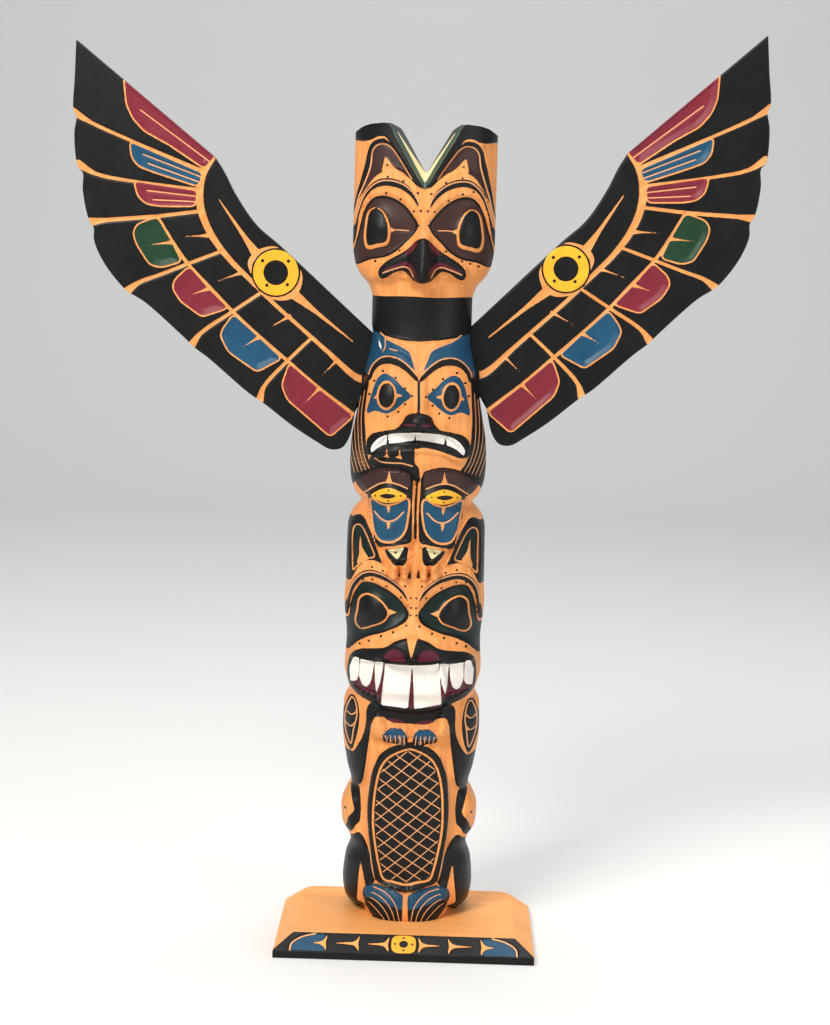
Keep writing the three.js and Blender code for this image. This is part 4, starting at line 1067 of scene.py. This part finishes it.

# Paint on the crest's top: black ear tips, a grey-green band behind the notch's front edge, cream behind it
chamfer_band_breadth = 5.6
highlight_from, highlight_fall = 523.0, 0.42
top_coat = Coat(extra_x, extra_z, ["black", "cream_and_highlight", "green_with_sheen"])
off_ear = -np.clip(extra_level - ear_top(extra_x) + 1.0, -reach, reach)
in_band = np.clip(chamfer_band_breadth - extra_y + extra_front, -reach, reach)
highlight_top = highlight_from - highlight_fall * (extra_y - extra_front)
top_coat.fields["black"][:] = reach
# Painted highlight: the cream band is paler than the wood and narrows towards the back, and stands for the
# notch's bare faces lit from above
top_coat.fields["cream_and_highlight"] = np.minimum(off_ear, np.clip(highlight_top - extra_level, -reach, reach))
# Painted sheen: the band behind the front edge is green paint, made a paler grey-green for the light its
# gloss reflects
top_coat.fields["green_with_sheen"] = np.minimum(off_ear, in_band)
top_coat.paint(None, extra_y - pole_high[1] + 0.5)
top_coat.into(pole_piece.data, np.arange(extra_start, len(pole_points)))
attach(pole_piece, "root")
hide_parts("pole")


# Wings. Two cedar boards 10 mm thick, painted black all over, with seven feathers each: colour
# panels sunk up to 1.7 mm inside bare rims, bare dividers and quill ticks, and a yellow eye at the
# shoulder. Each is set in the pole's side by a tongue, one a little lower and one a little higher.
wing_lead = [(-1.4, 23), (60, 80.5), (76, 94.6), (89.5, 114.5), (97, 129.3), (103, 138.8), (192.8, 214.4)]
wing_trail = [(10.4, -27), (14.6, -46.5), (19.5, -53.2), (27, -54.1), (36, -49.2), (53, -38), (72, -23),
              (81, -17), (108, 6.5), (117.4, 13.6), (125, 21), (150, 43.5), (158, 48.4), (163.5, 52.4),
              (176.5, 69), (183, 84), (183.2, 92.6), (186.4, 98), (190, 117), (189.8, 128.2), (193, 132),
              (195, 154), (193.4, 165.6), (195.3, 169), (194.1, 191), (192.8, 214.4)]
wing_depth = 10.0
wing_steps = 470
wing_columns = 110
wing_round = 1.2
back_round = 0.8
root_fade = 9.0
panel_depth, panel_slope = 1.7, 5.0
tongue_half = 4.7

wing_grain = -38
wing_line = (232, 164, 112)
wing_paints = {"black": (8, 8, 8), "red": (122, 34, 50), "blue": (22, 76, 106), "green": (22, 58, 36),
               "yellow": (240, 174, 44)}


def along_path(path, shares):
    """Points at even shares of a path's length."""
    chain = np.array(path, float)
    length = np.concatenate([[0], np.cumsum(np.linalg.norm(np.diff(chain, axis=0), axis=1))])
    at = shares * length[-1]
    return np.stack([np.interp(at, length, chain[:, 0]), np.interp(at, length, chain[:, 1])], axis=1)


def ribbon(coat, path, halves, colour=None, lift=0.0):
    """A painted or bare band along a path, whose half breadth changes from point to point."""
    chain = bowed(path)
    given = np.linspace(0, 1, len(path))
    halves = np.interp(np.linspace(0, 1, len(chain)), given, np.broadcast_to(halves, (len(path),)))
    depth = np.full(coat.x.shape, -reach)
    for start, end, near_half, far_half in zip(chain, chain[1:], halves, halves[1:]):
        step = end - start
        over, up = coat.x - start[0], coat.z - start[1]
        share = np.clip((over * step[0] + up * step[1]) / (step @ step), 0, 1)
        gap = np.hypot(over - share * step[0], up - share * step[1])
        depth = np.maximum(depth, near_half + share * (far_half - near_half) - gap)
    coat.paint(colour, np.clip(depth, -reach, reach), lift)


def paint_wing(coat):
    """Dividers, the two rows of quills, feather panels, and the eye at the shoulder."""
    coat.paint("black", np.full(coat.x.shape, reach))
    dividers = [
        ([(195.6, 168), (184, 161), (158, 149.3), (111, 129.6)], [2.6, 1.2, 1.0, 1.0]),
        ([(192.5, 134), (181, 127.5), (156.5, 122.7), (113.8, 117.3)], [2.6, 1.2, 1.0, 1.0]),
        ([(185.5, 96), (175.4, 97.2), (141.9, 99.8), (113, 103.2)], [2.8, 1.4, 1.2, 1.1]),
        ([(161, 51), (153.6, 56.3), (138.6, 61.9), (120.8, 68.8), (99.3, 76.8)], [2.6, 1.3, 1.1, 1.1, 1.0]),
        ([(119, 15), (112.8, 23), (91.2, 37.6), (72.5, 50)], [2.6, 1.3, 1.1, 1.0]),
        ([(74, -21.5), (71, -12.4), (55, 5.1), (39, 20.4)], [2.6, 1.3, 1.1, 1.0]),
    ]
    for path, halves in dividers:
        ribbon(coat, path, halves, lift=-0.9)
    ribbon(coat, [(102.9, 138.8), (110.4, 128.3), (112.9, 114.6), (111.2, 101.7), (104.8, 87), (93.8, 72.2),
        (79, 57.4), (64.1, 42.6), (45.5, 26), (28.8, 11.1), (10.1, -5.6), (3, -8)], [1.4, 2.6, 2.6, 2.4,
        2.2, 1.8, 1.5, 1.3, 1.2, 1.4, 2.2, 2.6], lift=-0.8)
    ribbon(coat, [(141, 99.8), (130.9, 83.2), (120.8, 68.5), (107, 53.7), (91.2, 37), (75.4, 22.2),
        (55, 4.5), (34.4, -13.2), (10.1, -31.5)], 1.1, lift=-0.8)
    feathers = [
        ("red", [(161.4, 190.2), (160, 173), (156, 163.9), (148.7, 155.7), (132.1, 146.6), (109.5, 131.4),
            (101.8, 140.4)]),
        ("blue", [(158.1, 148), (156.9, 138.3), (152.7, 132.8), (143.4, 129.2), (113.8, 119.7),
            (111, 127.8)]),
        ("red", [(155.6, 122.4), (152.9, 112.6), (147.4, 108.1), (138.1, 106.8), (115.8, 106.8),
            (114.8, 116.4)]),
        ("green", [(141, 98.9), (154.1, 94.2), (156.6, 88.7), (154.2, 81.3), (146, 68.4), (138.5, 66.6),
            (125.5, 70.3), (131.8, 83.2)]),
        ("red", [(119.9, 66.6), (129.3, 58.2), (130.9, 52.7), (125.7, 44.3), (111.8, 34.2), (94.9, 39.8),
            (107, 51.8)]),
        ("blue", [(90.9, 35.1), (97.8, 25.8), (99.4, 21.2), (94.2, 10.9), (75.6, -2.1), (59.6, 6.4),
            (74.5, 20.3)]),
        ("red", [(54, 2.6), (58.8, -11.4), (55.1, -20.8), (27, -45.1), (12, -31.9), (34.4, -14.1)]),
    ]
    for colour, points in feathers:
        depth = within(filleted(points, 3.0), coat.x, coat.z)
        coat.paint(None, depth + 1.0)
        coat.paint(colour, depth)
        coat.lift -= panel_depth * smooth_step(depth / panel_slope + 0.1)
    for path in ([(151.3, 169), (106.3, 135.7)], [(149.8, 140.2), (112.4, 125.8)], [(147.3, 116.6),
            (115.6, 113)], [(146.5, 134.2), (113.4, 122.3)], [(143.5, 110.6), (115.6, 109.4)]):
        coat.score(path, half=0.4, side=1)
    for tip, foot in (((148.6, 81), (131.5, 82.8)), ((120.1, 48.1), (107.9, 52.2)), ((85.2, 13.7),
            (74.5, 20.3)), ((44.8, -24.1), (34.4, -13.6)), ((123.4, 86.6), (107.6, 87.3)), ((101.3, 57.4),
            (85.4, 63)), ((67.9, 26.3), (53.9, 34.3)), ((32.5, -4.8), (22.2, 5.5))):
        middle = ((tip[0] + foot[0] * 2) / 3, (tip[1] + foot[1] * 2) / 3)
        ribbon(coat, [tip, middle, foot], [0.1, 0.5, 1.4], lift=-0.4)
    ribbon(coat, [(54.7, 75.1), (63.9, 78.7), (75.1, 75), (79.6, 69.3), (78.9, 63)], [0.8, 1.6, 2.3, 1.6,
        0.6])
    ribbon(coat, [(74.3, 52.8), (66, 47.3), (55.7, 47.0), (50, 50.9), (46.6, 59.4), (47.6, 66.8)], [0.6,
        1.4, 2.1, 2.4, 1.6, 0.6])
    ribbon(coat, [(75, 74.4), (84, 87.4), (100, 110.9)], [3.2, 1.3, 0.3], lift=-0.3)
    ribbon(coat, [(50.2, 48.3), (36, 37), (11.9, 17.7)], [3.2, 1.3, 0.3], lift=-0.3)
    for colour, radius, lift in (("black", 16.2, 0.3), ("yellow", 15.0, 0.0), ("black", 8.2, 0.0)):
        coat.oval(colour, (62.7, 63), (radius, radius), 1, lift)
    coat.dot([(71.4, 70.8), (54.3, 70.5), (68.7, 54.7), (55.1, 55.1)], radius=1.2, side=1)


def meet_root(flat):
    """Draws the first stations of a wing's grid to its shaped inner edge, fading out along the wing."""
    edge_u, edge_v = np.array([(u, v) for u, v in inner_edge if v >= wing_trail[0][1]]).T
    to_edge = np.interp(flat[0, :, 1], edge_v, edge_u) - flat[0, :, 0]
    travel = np.linalg.norm(flat - flat[:1], axis=2)
    flat[:, :, 0] += to_edge[None, :] * np.clip(1 - travel / root_fade, 0, 1)


shares = np.linspace(0, 0.999, wing_steps)
lead = along_path(np.concatenate([bowed(wing_lead[:-1]), wing_lead[-1:]]), shares)
trail = along_path(bowed(wing_trail), shares)
chord = np.linalg.norm(trail - lead, axis=1)
rim_insets = np.array([0.0, 0.15, 0.4, 0.8, 1.3])
even = np.linspace(0, 1, wing_columns + 2)[1:-1]
tight = np.minimum(1.0, chord / 14.0)[:, None]
start_share = rim_insets[None, :] * tight / chord[:, None]
inner_share = start_share[:, -1:] + even[None, :] * (1 - 2 * start_share[:, -1:])
across = np.concatenate([start_share, inner_share, 1 - start_share[:, ::-1]], axis=1)
flat_wing = lead[:, None, :] + across[:, :, None] * (trail - lead)[:, None, :]
meet_root(flat_wing)
wing_coat = Coat(flat_wing[:, :, 0], flat_wing[:, :, 1], wing_paints)
paint_wing(wing_coat)
inset = np.minimum(across, 1 - across) * chord[:, None]
to_corner = np.clip(wing_round - inset, 0, None)
rounding = wing_round - np.sqrt(np.clip(wing_round ** 2 - to_corner ** 2, 0, None))
front_y = -wing_depth / 2 + rounding - wing_coat.lift * smooth_step(inset / 1.5)
back_across = np.concatenate([[1.0, 0.992], np.linspace(0.95, 0.05, 12), [0.008, 0.0]])
flat_back = lead[:, None, :] + back_across[None, :, None] * (trail - lead)[:, None, :]
meet_root(flat_back)
back_y = np.full(flat_back.shape[:2], wing_depth / 2)
back_y[:, [0, -1]] -= back_round
trail_side = np.repeat(flat_wing[:, -1:], 2, axis=1)
lead_side = np.repeat(flat_wing[:, :1], 2, axis=1)
side_y = np.broadcast_to([-1.5, 2.0], (wing_steps, 2))
ring = np.concatenate([np.dstack([flat_wing, front_y]), np.dstack([trail_side, side_y]),
                       np.dstack([flat_back, back_y]), np.dstack([lead_side, side_y[:, ::-1]])], axis=1)
ring_count = ring.shape[1]
wing_faces = strip_faces(wing_steps, ring_count, True)
wing_faces += [list(range(ring_count)), list(range((wing_steps - 1) * ring_count, wing_steps * ring_count))]
tongue_points = [(u, v, y) for y in (-tongue_half, tongue_half) for u, v in (
    (tongue_end, tongue_low), (7.0, tongue_low), (4.5, tongue_high), (tongue_end, tongue_high))]
tongue_start = wing_steps * ring_count
tongue_faces = [[0, 1, 2, 3], [4, 5, 6, 7], [0, 1, 5, 4], [1, 2, 6, 5], [2, 3, 7, 6], [3, 0, 4, 7]]
wing_faces += [[tongue_start + corner for corner in face] for face in tongue_faces]
wing_form = np.concatenate([ring.reshape(-1, 3), np.array(tongue_points)])
front_points = np.arange(wing_steps)[:, None] * ring_count + np.arange(across.shape[1])
wing_wood = painted_cedar("painted wing", wing_grain, painted_light, painted_dark, wing_paints,
                          wing_line)
for name, side, turn in (("left", -1, -wing_turn), ("right", 1, wing_turn)):
    u, v, y = wing_form.T
    x = side * (shoulder_x + u * math.cos(turn) - v * math.sin(turn))
    z = shoulder_z[side] + u * math.sin(turn) + v * math.cos(turn)
    wing_points = np.stack([x, y + pole_plane, z], axis=1)
    wing_piece = make_piece("carved_wing_" + name, wing_points, wing_faces, wing_wood)
    wing_coat.into(wing_piece.data, front_points, "black")
    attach(wing_piece, "root")
    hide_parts("wing_" + name)


# Setting. A pale floor swept up into a back wall, a large soft key light from the front left, a
# weaker fill from the right, one from above and one on the wall, and the camera at the photo's angle.
sweep_across = np.linspace(-3.0, 3.0, 7)
sweep_turn = np.linspace(0, math.pi / 2, 17)
sweep_y = np.concatenate([[-4.0, -1.0, 1.0], 2.4 + 0.9 * np.sin(sweep_turn), [3.3]])
sweep_z = np.concatenate([[0.0, 0.0, 0.0], 0.9 - 0.9 * np.cos(sweep_turn), [4.0]])
sweep_x, sweep_row = np.meshgrid(sweep_across, np.arange(sweep_y.size))
sweep_points = 1000 * np.stack([sweep_x, sweep_y[sweep_row], sweep_z[sweep_row]], axis=2).reshape(-1, 3)
sweep_faces = strip_faces(sweep_y.size, sweep_across.size, False)
floor_paper = bpy.data.materials.new("pale floor")
floor_paper.use_nodes = True
paper = floor_paper.node_tree.nodes["Principled BSDF"].inputs
paper["Base Color"].default_value = pigment((226, 226, 224))
paper["Roughness"].default_value = 0.8
floor_sweep = make_piece("floor_sweep", sweep_points, sweep_faces, floor_paper)


def soft_light(name, place, aim, breadth, power, tint=(255, 255, 255)):
    """A square lamp that faces a point."""
    lamp = bpy.data.lights.new(name, "AREA")
    lamp.shape = "SQUARE"
    lamp.size = breadth
    lamp.energy = power
    lamp.color = pigment(tint)[:3]
    holder = bpy.data.objects.new(name, lamp)
    holder.location = place
    holder.rotation_euler = (Vector(aim) - Vector(place)).to_track_quat("-Z", "Y").to_euler()
    bpy.context.scene.collection.objects.link(holder)


mid_pole = (0, 0, 0.3)
soft_light("key_light", (-0.75, -1.35, 1.5), mid_pole, 0.7, 36.0, (255, 250, 242))
soft_light("fill_light", (1.3, -1.1, 0.7), mid_pole, 1.0, 8.0)
soft_light("top_light", (0.1, 0.2, 1.7), mid_pole, 0.8, 14.0)
soft_light("wall_light", (0, 1.3, 2.6), (0, 3.2, 0.9), 1.6, 20.0)
studio = bpy.data.worlds.new("studio")
studio.use_nodes = True
air = studio.node_tree.nodes["Background"].inputs
air["Color"].default_value = pigment((236, 240, 246))
air["Strength"].default_value = 0.4
bpy.context.scene.world = studio
bpy.context.scene.view_settings.view_transform = "Standard"

camera_data = bpy.data.cameras.new("camera")
camera_data.lens = 80.8
camera = bpy.data.objects.new("camera", camera_data)
turn_left, tip_down, lean = (math.radians(angle) for angle in (-0.795, 6.757, 1.53))
ahead = Vector((math.sin(turn_left) * math.cos(tip_down), math.cos(turn_left) * math.cos(tip_down),
                -math.sin(tip_down)))
level_right = Vector((math.cos(turn_left), -math.sin(turn_left), 0))
level_up = level_right.cross(ahead)
right = level_right * math.cos(lean) + level_up * math.sin(lean)
upward = level_up * math.cos(lean) - level_right * math.sin(lean)
camera.matrix_world = Matrix((right, upward, -ahead)).transposed().to_4x4()
camera.location = (0.0201, -1.5112, 0.4654)
bpy.context.scene.collection.objects.link(camera)
bpy.context.scene.camera = camera
